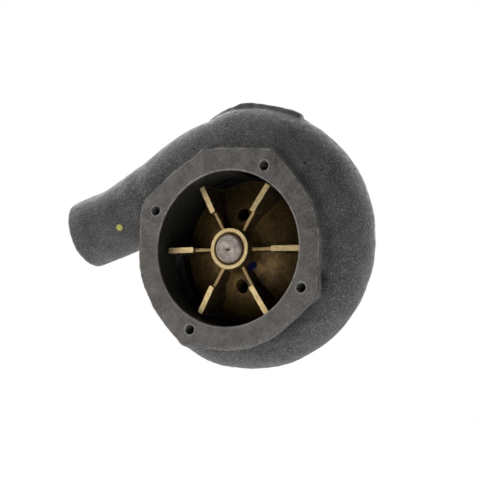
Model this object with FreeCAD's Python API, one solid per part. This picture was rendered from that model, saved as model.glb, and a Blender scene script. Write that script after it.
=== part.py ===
import FreeCAD, Part
import math
import os

from FreeCAD import Vector

# Gear-driven engine coolant pump.  Millimetres, +Z up, +Y towards the engine.
# The origin is where the shaft axis meets the rear mounting face.  Profiles are (radius, depth)
# corners, with depth measured from the inlet face towards the engine, so y = depth - BODY_LENGTH.
# Angles round the shaft are counter-clockwise seen from the inlet, from +X.

# ---- casting
BODY_LENGTH = 92.0            # inlet face to mounting face
INLET_R = 60.325              # 4 3/4 in bore round the impeller
INLET_BOLT_R = 69.85          # 5 1/2 in bolt circle
INLET_FIRST_BOLT = 62.9
INLET_TAP_R = 3.3             # drilled for 5/16 in coarse thread
TAP_DEPTH = 19.0
FLANGE_R = 77.7
FLANGE_THICK = 8.0
EAR_NOSE_R = 5.0
EAR_CENTRE_R = 79.3
CHAMBER_R = 67.0
BACK_WALL_FRONT = 56.5
WALL = 5.5

# ---- scroll and outlet
SCROLL_DEPTH = 36.5           # depth of the scroll's centre plane
SCROLL_START, SCROLL_END = -180.0, 90.0
SCROLL_STEP = 15.0
SCROLL_JOIN = -45.0           # the wrap is two lofts that meet here
SCROLL_OUTER_R = (72.0, 81.0, 87.3, 90.6, 91.9, 92.3, 92.2, 93.5, 96.1, 98.9, 101.9,
                  104.4, 106.8, 108.8, 110.3, 111.5, 112.5, 113.2, 113.6)   # at each step
SCROLL_ROOT_R = 50.0          # inner end of the flanks, inside the impeller bore
TUBE_R_START, TUBE_R_END = 12.0, 28.0
NECK_R = 28.2                 # outlet neck for a 2 1/4 in hose
NECK_BORE_R = 23.5
NECK_LENGTH = 38.0
NECK_END = (-148.8, 18.0)     # x and z of the middle of the outlet's end
NECK_SLOPE = 18.0             # degrees below horizontal
DUCT_SHOULDER, DUCT_MIDDLE = (-44.0, 70.1), (-81.0, 47.2)
NECK_ROUND = 2.5
PAD_R = 116.2                 # raised pad on the crest of the scroll
PAD_ANGLES = (65.3, 93.0)
PAD_DEPTHS = (32.5, 41.5)
DUCT_SPLIT_X = -84.0          # where the duct has left the scroll

# ---- mounting
MOUNT_R = 68.0
MOUNT_THICK = 10.0
MOUNT_NECK_R = 37.0           # bearing housing in front of the mounting flange
MOUNT_BOLT_R = 57.15          # 4 1/2 in bolt circle
MOUNT_HOLE_R = 5.15
MOUNT_FIRST_HOLE = 45.0
PILOT_R = 44.45               # 3 1/2 in pilot
PILOT_LENGTH = 10.0
O_RING_R = 1.5
O_RING_DEPTH = 97.0
TUBE_OUTER_R = 33.0
TUBE_END = 123.5
RIB_THICK = 6.0
RIB_ANGLES = (0.0, 90.0, 180.0)   # none at the bottom, where the weep hole comes out

# ---- shaft and its fits
IMPELLER_SEAT_R = 11.1
SEAL_SEAT_R = 12.5
LIP_SEAT_R = 14.0
BEARING_SEAT_R = 12.5
GEAR_SEAT_R = 11.0
THREAD_R = 10.0
SHAFT_FRONT, SHAFT_END = 3.3, 153.0
IMPELLER_BACK = 54.0
LIP_SEAT_START, BEARING_START = 70.0, 78.0

# ---- impeller
HUB_R = 16.1
HUB_FACE = 4.8
IMPELLER_R = 57.15
BLADES = 6
FIRST_BLADE = -0.9
LAND_START_R = 33.4
LAND_THICK, WEB_THICK = 4.2, 2.4
LAND_DEPTH_IN, LAND_DEPTH_OUT = 9.1, 12.6
WEB_DEPTH = 13.0
PULLER_HOLE_R, PULLER_CIRCLE_R, PULLER_FIRST_HOLE = 4.8, 28.8, 89.0

# ---- seals
WATER_SEAL_R = 18.25
SEAT_CUP_R, SEAT_R, SEAT_BORE_R = 18.0, 16.0, 12.2
SEAT_FLOOR = 48.0
FACE_GAP = 0.05
CARBON_R, CARBON_BORE_R, CARBON_LENGTH = 16.0, 13.4, 4.5
SHELL_WALL, SHELL_FLOOR = 0.8, 66.0
OIL_SEAL_R = 20.0
OIL_SEAL_START, OIL_SEAL_END = 70.4, 77.4

# ---- bearings
BEARING_R = 26.0
PITCH_R = 19.25
INNER_RACE_R, OUTER_RACE_BORE_R = 15.9, 22.6
GROOVE_PLAY = 0.12
FRONT_BEARING = {"start": 78.0, "end": 93.0, "rows": (85.5,), "ball_r": 3.95, "balls": 9}
REAR_BEARING = {"start": 99.0, "end": 119.6, "rows": (104.1, 114.5), "ball_r": 3.55, "balls": 10}
CAGE_HALF_THICK = 0.7
CAGE_PLAY = 0.1
CIRCLIP_R, CIRCLIP_THICK = 27.4, 1.75

# ---- drive gear
GEAR_TEETH = 36
GEAR_MODULE = 25.4 / 12
GEAR_START, GEAR_END = 124.0, 141.0
GEAR_HUB_R = 15.7
KEY_WIDTH, KEY_TOP, KEY_DISC_R, KEY_HEIGHT = 5.0, 13.2, 9.5, 7.5
KEY_DEPTH = 131.0
WASHER_R, WASHER_THICK = 17.0, 1.5
NUT_ACROSS_FLATS, NUT_THICK = 30.0, 9.0

AXIS = Vector(0, 1, 0)
ORIGIN = Vector(0, 0, 0)


def place(radius, angle, depth):
    """Point at a radius and an angle round the shaft, at a depth behind the inlet face."""
    turn = math.radians(angle)
    return Vector(radius * math.cos(turn), depth - BODY_LENGTH, radius * math.sin(turn))


def turned(*corners):
    """Solid of revolution about the shaft from (radius, depth) corners."""
    points = [place(radius, 0, depth) for radius, depth in corners]
    return Part.Face(Part.makePolygon(points + points[:1])).revolve(ORIGIN, AXIS, 360)


def ring(inner, outer, start, end):
    """Plain ring between two radii and two depths."""
    return turned((inner, start), (outer, start), (outer, end), (inner, end))


def disc(radius, start, end):
    """Plain cylinder on the shaft axis."""
    return Part.makeCylinder(radius, end - start, place(0, 0, start), AXIS)


def spun(shape, angle):
    """The shape turned round the shaft, counter-clockwise seen from the inlet."""
    copy = shape.copy()
    copy.rotate(ORIGIN, -AXIS, angle)
    return copy


def around(shape, count, first=0.0):
    """Equally spaced copies round the shaft."""
    return [spun(shape, first + index * 360.0 / count) for index in range(count)]


def drilled(circle_r, hole_r, start, end):
    """Cylinder along the shaft direction, standing off the axis at angle 0."""
    return Part.makeCylinder(hole_r, end - start, place(circle_r, 0, start), AXIS)


def radial_plate(corners, thick):
    """Plate in the half plane of angle 0 from (radius, depth) corners, centred on that plane."""
    points = [place(radius, 0, depth) - Vector(0, 0, thick / 2) for radius, depth in corners]
    return Part.Face(Part.makePolygon(points + points[:1])).extrude(Vector(0, 0, thick))


def save(name, *solids):
    """Write one node, from one solid or a group of separate solids."""
    found = [solid for shape in solids for solid in shape.Solids]
    shape = found[0] if len(found) == 1 else Part.makeCompound(found)
    state = "ok" if shape.isValid() and all(s.isClosed() for s in found) else "BAD"
    print(f"{name:28s} {len(found):3d} solids {shape.Volume / 1000:9.2f} cm3 {state}")
    shape.exportStep(f"parts/{name}.step")


# ---------------------------------------------------------------- casting

def scroll_size(angle):
    """Centre radius and half width of the scroll at an angle that is a whole number of steps.

    Up to the outlet the width grows by a softened sine.  After the outlet the outer wall falls
    back on a smooth step until it meets the start again."""
    grown = min((angle - SCROLL_START) / (SCROLL_END - SCROLL_START), 1.0)
    outer = SCROLL_OUTER_R[round(grown * (len(SCROLL_OUTER_R) - 1))]
    width = TUBE_R_START + (TUBE_R_END - TUBE_R_START) * math.sin(math.pi / 2 * grown) ** 1.3
    centre = outer - width
    if angle > SCROLL_END:
        fall = (angle - SCROLL_END) / 90.0
        step = fall * fall * (3 - 2 * fall)
        centre += (SCROLL_OUTER_R[0] - TUBE_R_START - centre) * step
        width += (TUBE_R_START - width) * step
    return centre, width


def scroll_section(angle, inset):
    """Closed U section of the scroll: two straight flanks and a half round crown."""
    centre, width = scroll_size(angle)
    width -= inset
    flank_in = place(SCROLL_ROOT_R, angle, SCROLL_DEPTH - width)
    flank_out = place(centre, angle, SCROLL_DEPTH - width)
    crown = place(centre + width, angle, SCROLL_DEPTH)
    back_out = place(centre, angle, SCROLL_DEPTH + width)
    back_in = place(SCROLL_ROOT_R, angle, SCROLL_DEPTH + width)
    return Part.Wire([
        Part.makeLine(flank_in, flank_out),
        Part.Arc(flank_out, crown, back_out).toShape(),
        Part.makeLine(back_out, back_in),
        Part.makeLine(back_in, flank_in),
    ])


def scroll(first, last, inset):
    """Loft of U sections from one angle to another."""
    steps = round((last - first) / SCROLL_STEP)
    sections = [scroll_section(first + index * SCROLL_STEP, inset) for index in range(steps + 1)]
    return Part.makeLoft(sections, True, False)


def wrap(inset):
    """The scroll from its start to the outlet, as two solids that meet face to face."""
    return [scroll(SCROLL_START, SCROLL_JOIN, inset), scroll(SCROLL_JOIN, SCROLL_END, inset)]


def neck_direction():
    """Unit vector along the outlet neck, pointing out of it."""
    slope = math.radians(NECK_SLOPE)
    return Vector(-math.cos(slope), 0, -math.sin(slope))


def neck_end():
    """Middle of the outlet's end face."""
    return Vector(NECK_END[0], SCROLL_DEPTH - BODY_LENGTH, NECK_END[1])


def duct_curve():
    """Middle line of the duct, from the top of the scroll to the start of the straight neck."""
    start = place(scroll_size(SCROLL_END)[0], SCROLL_END, SCROLL_DEPTH)
    end = neck_end() - neck_direction() * NECK_LENGTH
    y = SCROLL_DEPTH - BODY_LENGTH
    shoulder, middle = (Vector(x, y, z) for x, z in (DUCT_SHOULDER, DUCT_MIDDLE))
    curve = Part.BSplineCurve()
    curve.interpolate(Points=[start, shoulder, middle, end],
                      InitialTangent=Vector(DUCT_SHOULDER[0], 0, 0),
                      FinalTangent=neck_direction() * 38.0)
    return curve


def duct(first_r, last_r):
    """Tube of round sections along the duct's middle line."""
    curve = duct_curve()
    stations = 9
    sections = []
    for index in range(stations):
        along = index / (stations - 1)
        parameter = curve.FirstParameter + along * (curve.LastParameter - curve.FirstParameter)
        centre = curve.value(parameter)
        tangent = curve.tangent(parameter)[0]
        side = tangent.cross(AXIS) * (first_r + (last_r - first_r) * along)
        front = AXIS * side.Length
        sections.append(Part.Wire([
            Part.Arc(centre + front, centre + side, centre - front).toShape(),
            Part.Arc(centre - front, centre - side, centre + front).toShape(),
        ]))
    return Part.makeLoft(sections, True, False)


def neck(radius, overrun=0.0):
    """Straight end of the outlet."""
    start = neck_end() - neck_direction() * NECK_LENGTH
    return Part.makeCylinder(radius, NECK_LENGTH + overrun, start, neck_direction())


def rounded_neck():
    """Outlet neck with its outer end edge rounded for the hose."""
    plain = neck(NECK_R)
    end = neck_end()
    edge = min(plain.Edges, key=lambda item: (item.CenterOfMass - end).Length)
    return plain.makeFillet(NECK_ROUND, [edge])


def flange_outline():
    """Round flange outline with four rounded ears joined to it by tangent lines."""
    lean = math.degrees(math.acos((FLANGE_R - EAR_NOSE_R) / EAR_CENTRE_R))
    edges = []
    for index in range(4):
        angle = INLET_FIRST_BOLT + index * 90.0
        nose = place(EAR_CENTRE_R, angle, 0)
        near, far = place(FLANGE_R, angle - lean, 0), place(FLANGE_R, angle + lean, 0)
        nose_near = nose + place(EAR_NOSE_R, angle - lean, BODY_LENGTH)
        nose_tip = nose + place(EAR_NOSE_R, angle, BODY_LENGTH)
        nose_far = nose + place(EAR_NOSE_R, angle + lean, BODY_LENGTH)
        between = place(FLANGE_R, angle + 45.0, 0)
        next_near = place(FLANGE_R, angle + 90.0 - lean, 0)
        edges += [
            Part.makeLine(near, nose_near),
            Part.Arc(nose_near, nose_tip, nose_far).toShape(),
            Part.makeLine(nose_far, far),
            Part.Arc(far, between, next_near).toShape(),
        ]
    return Part.Wire(edges)


def flange():
    """Inlet flange plate with bosses behind its four tapped holes."""
    plate = Part.Face(flange_outline()).extrude(AXIS * FLANGE_THICK)
    boss = disc(EAR_NOSE_R + 3.5, 0, TAP_DEPTH + 5)
    boss.translate(Vector(INLET_BOLT_R, 0, 0))
    return plate.fuse(around(boss, 4, INLET_FIRST_BOLT))


def pad():
    """Raised pad on the crest of the scroll, with a constant outer radius."""
    first, last = PAD_ANGLES
    sector = turned((80.0, PAD_DEPTHS[0]), (PAD_R, PAD_DEPTHS[0]),
                    (PAD_R, PAD_DEPTHS[1]), (80.0, PAD_DEPTHS[1]))
    corners = [place(0, 0, 0), place(200, first, 0), place(200, last, 0)]
    wedge = Part.Face(Part.makePolygon(corners + corners[:1])).extrude(AXIS * BODY_LENGTH)
    return sector.common(wedge)


def pump_body():
    """The one casting: volute, inlet flange, outlet, bearing tube and mounting flange."""
    rib = radial_plate([(30, 60), (56, 60), (60, 82.5), (30, 82.5)], RIB_THICK)
    outside = turned(
        (0, 0), (CHAMBER_R, 0), (CHAMBER_R, 60), (60, 64.5), (42, 66), (MOUNT_NECK_R, 71), (MOUNT_NECK_R, 82),
        (MOUNT_R, BODY_LENGTH - MOUNT_THICK), (MOUNT_R, BODY_LENGTH), (PILOT_R, BODY_LENGTH),
        (PILOT_R, BODY_LENGTH + PILOT_LENGTH), (TUBE_OUTER_R, BODY_LENGTH + PILOT_LENGTH),
        (TUBE_OUTER_R, TUBE_END), (0, TUBE_END))
    outside = outside.fuse([
        flange(), *wrap(0.0), scroll(SCROLL_END, 180.0, 0.0),
        duct(TUBE_R_END, NECK_R), rounded_neck(), pad(), *[spun(rib, angle) for angle in RIB_ANGLES]])
    weep = Part.makeCylinder(3.0, 80, place(0, 0, 68.7), Vector(0, 0, -1))
    clip_end = REAR_BEARING["end"] + CIRCLIP_THICK
    groove_start = O_RING_DEPTH - O_RING_R - 0.2
    inside = [
        disc(INLET_R, -1, BACK_WALL_FRONT),
        *wrap(WALL),
        duct(TUBE_R_END - WALL, NECK_BORE_R),
        neck(NECK_BORE_R, overrun=5.0),
        disc(WATER_SEAL_R, 50, 67.2),
        disc(16.8, 50, 71),
        disc(OIL_SEAL_R, 70.4, 79),
        disc(BEARING_R, FRONT_BEARING["start"], TUBE_END + 1),
        disc(CIRCLIP_R + 0.2, REAR_BEARING["end"], clip_end + 0.1),
        ring(PILOT_R - 2 * O_RING_R - 0.05, PILOT_R + 5, groove_start,
             groove_start + 2 * O_RING_R + 0.4),
        weep,
        *around(drilled(INLET_BOLT_R, INLET_TAP_R, -1, TAP_DEPTH), 4, INLET_FIRST_BOLT),
        *around(drilled(MOUNT_BOLT_R, MOUNT_HOLE_R, 70, 100), 4, MOUNT_FIRST_HOLE),
    ]
    return outside.cut(inside)


# ---------------------------------------------------------------- impeller and shaft

def impeller_plate():
    """Hub and trumpet back plate of the open bronze impeller, with a seat bore behind."""
    return turned(
        (IMPELLER_SEAT_R, HUB_FACE + 0.9), (IMPELLER_SEAT_R + 0.9, HUB_FACE), (HUB_R, HUB_FACE),
        (HUB_R, 20), (18.5, 24.5), (23, 27.2), (29, 29.2), (36, 33), (43, 38), (50, 43.6),
        (IMPELLER_R, 50), (IMPELLER_R, IMPELLER_BACK), (53, IMPELLER_BACK), (46, 49.5), (38, 43),
        (30, 38), (24, 36.5), (22.5, 38), (22.5, IMPELLER_BACK), (SEAT_CUP_R, IMPELLER_BACK),
        (SEAT_CUP_R, SEAT_FLOOR), (IMPELLER_SEAT_R, SEAT_FLOOR))


def impeller_blade():
    """One straight blade at angle 0: a thick machined land outside, a thin cast web inside."""
    land = radial_plate(
        [(LAND_START_R, LAND_DEPTH_IN), (IMPELLER_R, LAND_DEPTH_OUT), (IMPELLER_R, 52),
         (50, 46), (43, 40), (36, 35), (LAND_START_R, 33.5)], LAND_THICK)
    web = radial_plate(
        [(HUB_R - 2, WEB_DEPTH), (LAND_START_R + 1, WEB_DEPTH),
         (LAND_START_R + 1, 34), (29, 31), (22, 28.5), (HUB_R - 2, 24)], WEB_THICK)
    return land.fuse(web).common(disc(IMPELLER_R, 0, 60)).removeSplitter()


def save_impeller():
    """The impeller casting as two nodes: hub and plate, and the blades on it."""
    plate = impeller_plate()
    holes = around(drilled(PULLER_CIRCLE_R, PULLER_HOLE_R, 20, 50), 2, PULLER_FIRST_HOLE)
    save("impeller", plate.cut(holes))
    save("impeller_blades", *around(impeller_blade().cut(plate), BLADES, FIRST_BLADE))


def key_solid():
    """Woodruff key: part of a disc with a flat top."""
    centre = Vector(-KEY_WIDTH / 2, KEY_DEPTH - BODY_LENGTH, KEY_TOP + KEY_DISC_R - KEY_HEIGHT)
    whole = Part.makeCylinder(KEY_DISC_R, KEY_WIDTH, centre, Vector(1, 0, 0))
    block = Part.makeBox(40, 40, 40, Vector(-20, centre.y - 20, KEY_TOP - 40))
    return whole.common(block)


def pump_shaft():
    """Stepped shaft with a chamfered nose, key seat and centre drillings at its ends."""
    shaft = turned(
        (0, SHAFT_FRONT), (IMPELLER_SEAT_R - 0.8, SHAFT_FRONT),
        (IMPELLER_SEAT_R, SHAFT_FRONT + 0.8), (IMPELLER_SEAT_R, IMPELLER_BACK - 0.5),
        (SEAL_SEAT_R, IMPELLER_BACK + 0.4), (SEAL_SEAT_R, LIP_SEAT_START),
        (LIP_SEAT_R, LIP_SEAT_START + 0.4), (LIP_SEAT_R, BEARING_START),
        (BEARING_SEAT_R, BEARING_START), (BEARING_SEAT_R, REAR_BEARING["end"]),
        (GEAR_SEAT_R, REAR_BEARING["end"]), (GEAR_SEAT_R, GEAR_END), (THREAD_R, GEAR_END),
        (THREAD_R, SHAFT_END - 1), (THREAD_R - 1, SHAFT_END), (0, SHAFT_END))
    front_centre = turned((0, SHAFT_FRONT - 1), (2.4, SHAFT_FRONT - 1), (2.4, SHAFT_FRONT),
                          (0.9, SHAFT_FRONT + 2.2), (0, SHAFT_FRONT + 2.6))
    rear_centre = turned((0, SHAFT_END + 1), (2.4, SHAFT_END + 1), (2.4, SHAFT_END),
                         (0.9, SHAFT_END - 2.2), (0, SHAFT_END - 2.6))
    return shaft.cut([front_centre, rear_centre, key_solid()])


# ---------------------------------------------------------------- seals

def coil(mean_r, wire_r, start, end, turns):
    """Helical compression spring along the shaft."""
    length = end - start - 2 * wire_r
    helix = Part.makeHelix(length / turns, length, mean_r)
    section = Part.Wire(Part.makeCircle(wire_r, Vector(mean_r, 0, 0), AXIS))
    spring = Part.Wire(helix.Edges).makePipeShell([section], True, True)
    spring.rotate(ORIGIN, Vector(1, 0, 0), -90)
    spring.translate(place(0, 0, start + wire_r))
    return spring


def save_seals():
    """Face seal against the coolant, slinger over the weep hole, lip seal against the oil."""
    carbon_front = IMPELLER_BACK + FACE_GAP
    carbon_back = carbon_front + CARBON_LENGTH
    save("seal_seat_cup", turned(
        (SEAT_BORE_R + 0.6, SEAT_FLOOR), (SEAT_CUP_R, SEAT_FLOOR),
        (SEAT_CUP_R, IMPELLER_BACK - 1.2), (SEAT_R, IMPELLER_BACK - 1.2),
        (SEAT_R, SEAT_FLOOR + 1.2), (SEAT_BORE_R + 0.6, SEAT_FLOOR + 1.2)))
    save("ceramic_seat", turned(
        (SEAT_BORE_R, SEAT_FLOOR + 1.2), (SEAT_R, SEAT_FLOOR + 1.2),
        (SEAT_R, IMPELLER_BACK - 0.4), (SEAT_R - 0.4, IMPELLER_BACK), (SEAT_BORE_R, IMPELLER_BACK)))
    save("carbon_seal_ring", turned(
        (CARBON_BORE_R, carbon_front), (CARBON_R - 1.2, carbon_front),
        (CARBON_R - 1.2, carbon_front + 1.4), (CARBON_R, carbon_front + 1.4),
        (CARBON_R, carbon_back), (CARBON_BORE_R, carbon_back)))
    shell_in = WATER_SEAL_R - SHELL_WALL
    save("water_seal_shell", turned(
        (shell_in, BACK_WALL_FRONT - SHELL_WALL), (WATER_SEAL_R + 2.6, BACK_WALL_FRONT - SHELL_WALL),
        (WATER_SEAL_R + 2.6, BACK_WALL_FRONT), (WATER_SEAL_R, BACK_WALL_FRONT),
        (WATER_SEAL_R, SHELL_FLOOR + SHELL_WALL), (13.6, SHELL_FLOOR + SHELL_WALL),
        (13.6, SHELL_FLOOR), (shell_in, SHELL_FLOOR)))
    save("water_seal_bellows", turned(
        (13.4, carbon_back), (14.2, carbon_back), (14.2, 60.2), (15.5, 61.4), (15.5, 63.0),
        (14.6, 64.2), (14.6, SHELL_FLOOR), (13.6, SHELL_FLOOR), (13.6, 63.9), (14.5, 62.7),
        (14.5, 61.8), (13.4, 60.8)))
    save("water_seal_spring", coil(16.5, 0.5, carbon_back + 0.02, SHELL_FLOOR - 0.02, 3.5))
    save("water_slinger", turned(
        (SEAL_SEAT_R, 67.5), (14.0, 67.5), (15.9, 67.9), (15.9, 68.6), (14.0, 69.5),
        (SEAL_SEAT_R, 69.5)))
    save("oil_seal_case", turned(
        (OIL_SEAL_R - 1, OIL_SEAL_START), (OIL_SEAL_R, OIL_SEAL_START), (OIL_SEAL_R, OIL_SEAL_END),
        (16.2, OIL_SEAL_END), (16.2, OIL_SEAL_END - 1), (OIL_SEAL_R - 1, OIL_SEAL_END - 1)))
    lip_gap = 0.05
    save("oil_seal_lip", turned(
        (16.2, OIL_SEAL_END), (15.0, OIL_SEAL_END), (LIP_SEAT_R + 0.7, 74.2),
        (LIP_SEAT_R + lip_gap, 73.2), (LIP_SEAT_R + lip_gap, 72.8), (LIP_SEAT_R + 1.0, 71.4),
        (16.6, 71.4), (16.9, 72.2), (15.9, 72.4), (15.9, 73.6), (16.9, 73.8), (16.2, 74.8)))
    save("oil_seal_garter_spring", Part.makeTorus(16.55, 0.58, place(0, 0, 73.0), AXIS))


# ---------------------------------------------------------------- bearings

def grooves(bearing):
    """Ball tracks as plain tori, a little larger than the balls."""
    track = bearing["ball_r"] + GROOVE_PLAY
    return [Part.makeTorus(PITCH_R, track, place(0, 0, row), AXIS) for row in bearing["rows"]]


def save_bearing(name, bearing):
    """Inner race, outer race, balls and cage of one deep groove bearing."""
    start, end, ball_r = bearing["start"], bearing["end"], bearing["ball_r"]
    tracks = grooves(bearing)
    save(f"{name}_inner_race", ring(BEARING_SEAT_R, INNER_RACE_R, start, end).cut(tracks))
    save(f"{name}_outer_race", ring(OUTER_RACE_BORE_R, BEARING_R, start, end).cut(tracks))
    balls, pockets = [], []
    for index, row in enumerate(bearing["rows"]):
        offset = index * 180.0 / bearing["balls"]
        ball = Part.makeSphere(ball_r, place(PITCH_R, 0, row))
        pocket = Part.makeCylinder(ball_r + CAGE_PLAY, PITCH_R, place(PITCH_R / 2, 0, row),
                                   Vector(1, 0, 0))
        balls += around(ball, bearing["balls"], offset)
        pockets += around(pocket, bearing["balls"], offset)
    reach = ball_r + 0.9
    cage = ring(PITCH_R - CAGE_HALF_THICK, PITCH_R + CAGE_HALF_THICK,
                bearing["rows"][0] - reach, bearing["rows"][-1] + reach)
    save(f"{name}_cage", cage.cut(pockets))
    save(f"{name}_balls", *balls)


def save_retainers():
    """Spacers between the bearings, the circlip behind them and the pilot's O-ring."""
    front_end, rear_start = FRONT_BEARING["end"], REAR_BEARING["start"]
    save("inner_spacer", ring(BEARING_SEAT_R, INNER_RACE_R - 0.3, front_end, rear_start))
    save("outer_spacer", ring(OUTER_RACE_BORE_R + 0.3, BEARING_R, front_end, rear_start))
    clip_start = REAR_BEARING["end"]
    clip_end = clip_start + CIRCLIP_THICK
    clip = ring(CIRCLIP_R - 3.4, CIRCLIP_R, clip_start, clip_end)
    lug = drilled(CIRCLIP_R - 4.6, 2.6, clip_start, clip_end)
    lug_angles = (-98.0, -82.0)
    clip = clip.fuse([spun(lug, angle) for angle in lug_angles])
    gap = Part.makeBox(5.0, CIRCLIP_THICK + 2, 12, Vector(-2.5, clip_start - BODY_LENGTH - 1, -32))
    eye = drilled(CIRCLIP_R - 4.6, 1.1, clip_start - 1, clip_end + 1)
    clip = clip.cut([gap] + [spun(eye, angle) for angle in lug_angles])
    save("bearing_circlip", clip.removeSplitter())
    ring_r = PILOT_R - O_RING_R - 0.05
    save("pilot_o_ring", Part.makeTorus(ring_r, O_RING_R, place(0, 0, O_RING_DEPTH), AXIS))


# ---------------------------------------------------------------- drive gear

def gear_outline():
    """Involute spur gear outline: each flank has four points on its involute."""
    pitch_r = GEAR_TEETH * GEAR_MODULE / 2
    base_r = pitch_r * math.cos(math.radians(20.0))
    tip_r, root_r = pitch_r + GEAR_MODULE, pitch_r - 1.25 * GEAR_MODULE
    roll = math.sqrt((pitch_r / base_r) ** 2 - 1)
    half_tooth = math.pi / (2 * GEAR_TEETH) + roll - math.atan(roll)
    flank = []
    for radius in (base_r, pitch_r - 0.4 * GEAR_MODULE, pitch_r + 0.3 * GEAR_MODULE, tip_r):
        spread = math.sqrt(max((radius / base_r) ** 2 - 1, 0.0))
        flank.append((radius, half_tooth - (spread - math.atan(spread))))
    rising = [(root_r, half_tooth + 0.012)] + flank
    outline = []
    for index in range(GEAR_TEETH):
        middle = index * 2 * math.pi / GEAR_TEETH
        outline += [(radius, middle - half) for radius, half in rising]
        outline += [(radius, middle + half) for radius, half in reversed(rising)]
    points = [place(radius, math.degrees(angle), GEAR_START) for radius, angle in outline]
    return Part.makePolygon(points + points[:1])


def drive_gear():
    """Spur gear with a web recess on both sides, a front hub and a keyway."""
    gear = Part.Face(gear_outline()).extrude(AXIS * (GEAR_END - GEAR_START))
    gear = gear.fuse(disc(GEAR_HUB_R, REAR_BEARING["end"], GEAR_START + 1))
    keyway = Part.makeBox(KEY_WIDTH, 40, 6, Vector(-KEY_WIDTH / 2, 20, KEY_TOP + 0.2 - 6))
    return gear.cut([
        disc(GEAR_SEAT_R, REAR_BEARING["end"] - 1, GEAR_END + 1), keyway,
        ring(GEAR_HUB_R + 4, 31.0, GEAR_START - 1, GEAR_START + 5),
        ring(GEAR_HUB_R + 4, 31.0, GEAR_END - 5, GEAR_END + 1)])


def gear_nut():
    """Hexagon nut with chamfered corners."""
    corner_r = NUT_ACROSS_FLATS / math.sqrt(3)
    start = GEAR_END + WASHER_THICK
    corners = [place(corner_r, index * 60.0, start) for index in range(6)]
    hexagon = Part.Face(Part.makePolygon(corners + corners[:1])).extrude(AXIS * NUT_THICK)
    flat_r = NUT_ACROSS_FLATS / 2
    rounding = turned((0, start), (flat_r, start), (corner_r, start + 1.4),
                      (corner_r, start + NUT_THICK - 1.4), (flat_r, start + NUT_THICK),
                      (0, start + NUT_THICK))
    return hexagon.common(rounding).cut(disc(THREAD_R, start - 1, start + NUT_THICK + 1))


def save_casting():
    """The casting as five nodes that meet face to face, each simpler round its own opening."""
    body = pump_body()
    reach = 400.0
    regions = {
        "inlet_flange": disc(reach, 0, FLANGE_THICK),
        "outlet_duct": Part.makeBox(reach, reach, reach, Vector(DUCT_SPLIT_X - reach, -200, -200)),
        "mounting_flange": ring(MOUNT_NECK_R, reach, BODY_LENGTH - MOUNT_THICK, BODY_LENGTH),
        "bearing_housing": disc(INLET_R, BACK_WALL_FRONT, BODY_LENGTH - MOUNT_THICK).fuse(
            disc(reach, BODY_LENGTH - MOUNT_THICK, TUBE_END + 1)),
    }
    for name, region in regions.items():
        save(name, body.common(region))
        body = body.cut(region)
    save("volute", body)


def main():
    """Write every node of the pump."""
    os.makedirs("parts", exist_ok=True)
    save_casting()
    save_impeller()
    save("pump_shaft", pump_shaft())
    save_seals()
    save_bearing("front_bearing", FRONT_BEARING)
    save_bearing("rear_bearing", REAR_BEARING)
    save_retainers()
    save("drive_gear", drive_gear())
    save("gear_key", key_solid())
    save("gear_lock_washer", ring(THREAD_R, WASHER_R, GEAR_END, GEAR_END + WASHER_THICK))
    save("gear_nut", gear_nut())


main()
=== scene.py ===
"""Gear-driven engine water pump, dressed round its packed construction frame.

Sizes inside the classes are millimetres in shaft coordinates (x, depth, z).  Depth runs along the
shaft from the inlet face towards the engine, x points right and z up, and angles round the shaft
are counter-clockwise seen from the inlet.  Meshes go into the frame, in metres, when they are made.
"""
import logging
import math
from dataclasses import dataclass
from enum import Enum

import bmesh
import bpy
import numpy as np
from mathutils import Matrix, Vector


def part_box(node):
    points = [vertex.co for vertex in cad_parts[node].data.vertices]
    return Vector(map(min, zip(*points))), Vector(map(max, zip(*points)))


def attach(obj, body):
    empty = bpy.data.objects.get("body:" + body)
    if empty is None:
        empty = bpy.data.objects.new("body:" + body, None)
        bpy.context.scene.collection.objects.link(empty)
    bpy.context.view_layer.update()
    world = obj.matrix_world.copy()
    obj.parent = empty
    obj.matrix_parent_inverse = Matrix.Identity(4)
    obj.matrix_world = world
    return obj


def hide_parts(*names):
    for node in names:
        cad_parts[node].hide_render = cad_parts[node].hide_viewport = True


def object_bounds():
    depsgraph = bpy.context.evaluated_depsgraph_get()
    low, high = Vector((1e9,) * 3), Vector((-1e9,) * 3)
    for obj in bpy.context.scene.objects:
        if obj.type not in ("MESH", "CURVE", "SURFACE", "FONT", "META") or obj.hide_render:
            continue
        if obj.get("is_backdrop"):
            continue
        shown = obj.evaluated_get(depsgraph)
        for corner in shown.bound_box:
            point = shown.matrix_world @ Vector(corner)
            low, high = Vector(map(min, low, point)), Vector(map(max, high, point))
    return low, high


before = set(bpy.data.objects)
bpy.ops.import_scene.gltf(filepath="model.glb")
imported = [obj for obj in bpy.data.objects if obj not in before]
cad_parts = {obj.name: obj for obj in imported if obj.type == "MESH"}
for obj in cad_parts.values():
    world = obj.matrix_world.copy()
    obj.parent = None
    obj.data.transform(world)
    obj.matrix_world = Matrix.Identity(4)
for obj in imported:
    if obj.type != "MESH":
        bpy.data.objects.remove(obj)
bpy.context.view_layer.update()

log = logging.getLogger("water_pump")

Array = np.ndarray
Triple = tuple[float, float, float]
Colour = Triple
Profile = list[tuple[float, float]]

MM = 0.001
TURN = 2 * math.pi
INLET_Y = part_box("inlet_flange")[0][1]
MOUNT_DEPTH = (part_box("mounting_flange")[1][1] - INLET_Y) / MM
HOUSING_END = (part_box("bearing_housing")[1][1] - INLET_Y) / MM
TRIANGLE_LIMIT = 190_000
FLAT = 0.98           # a face whose normal has at least this share along the shaft is flat
TOUCHING = 0.05       # millimetres within which a face lies on a plane


# ---------------------------------------------------------------- surfaces

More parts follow.
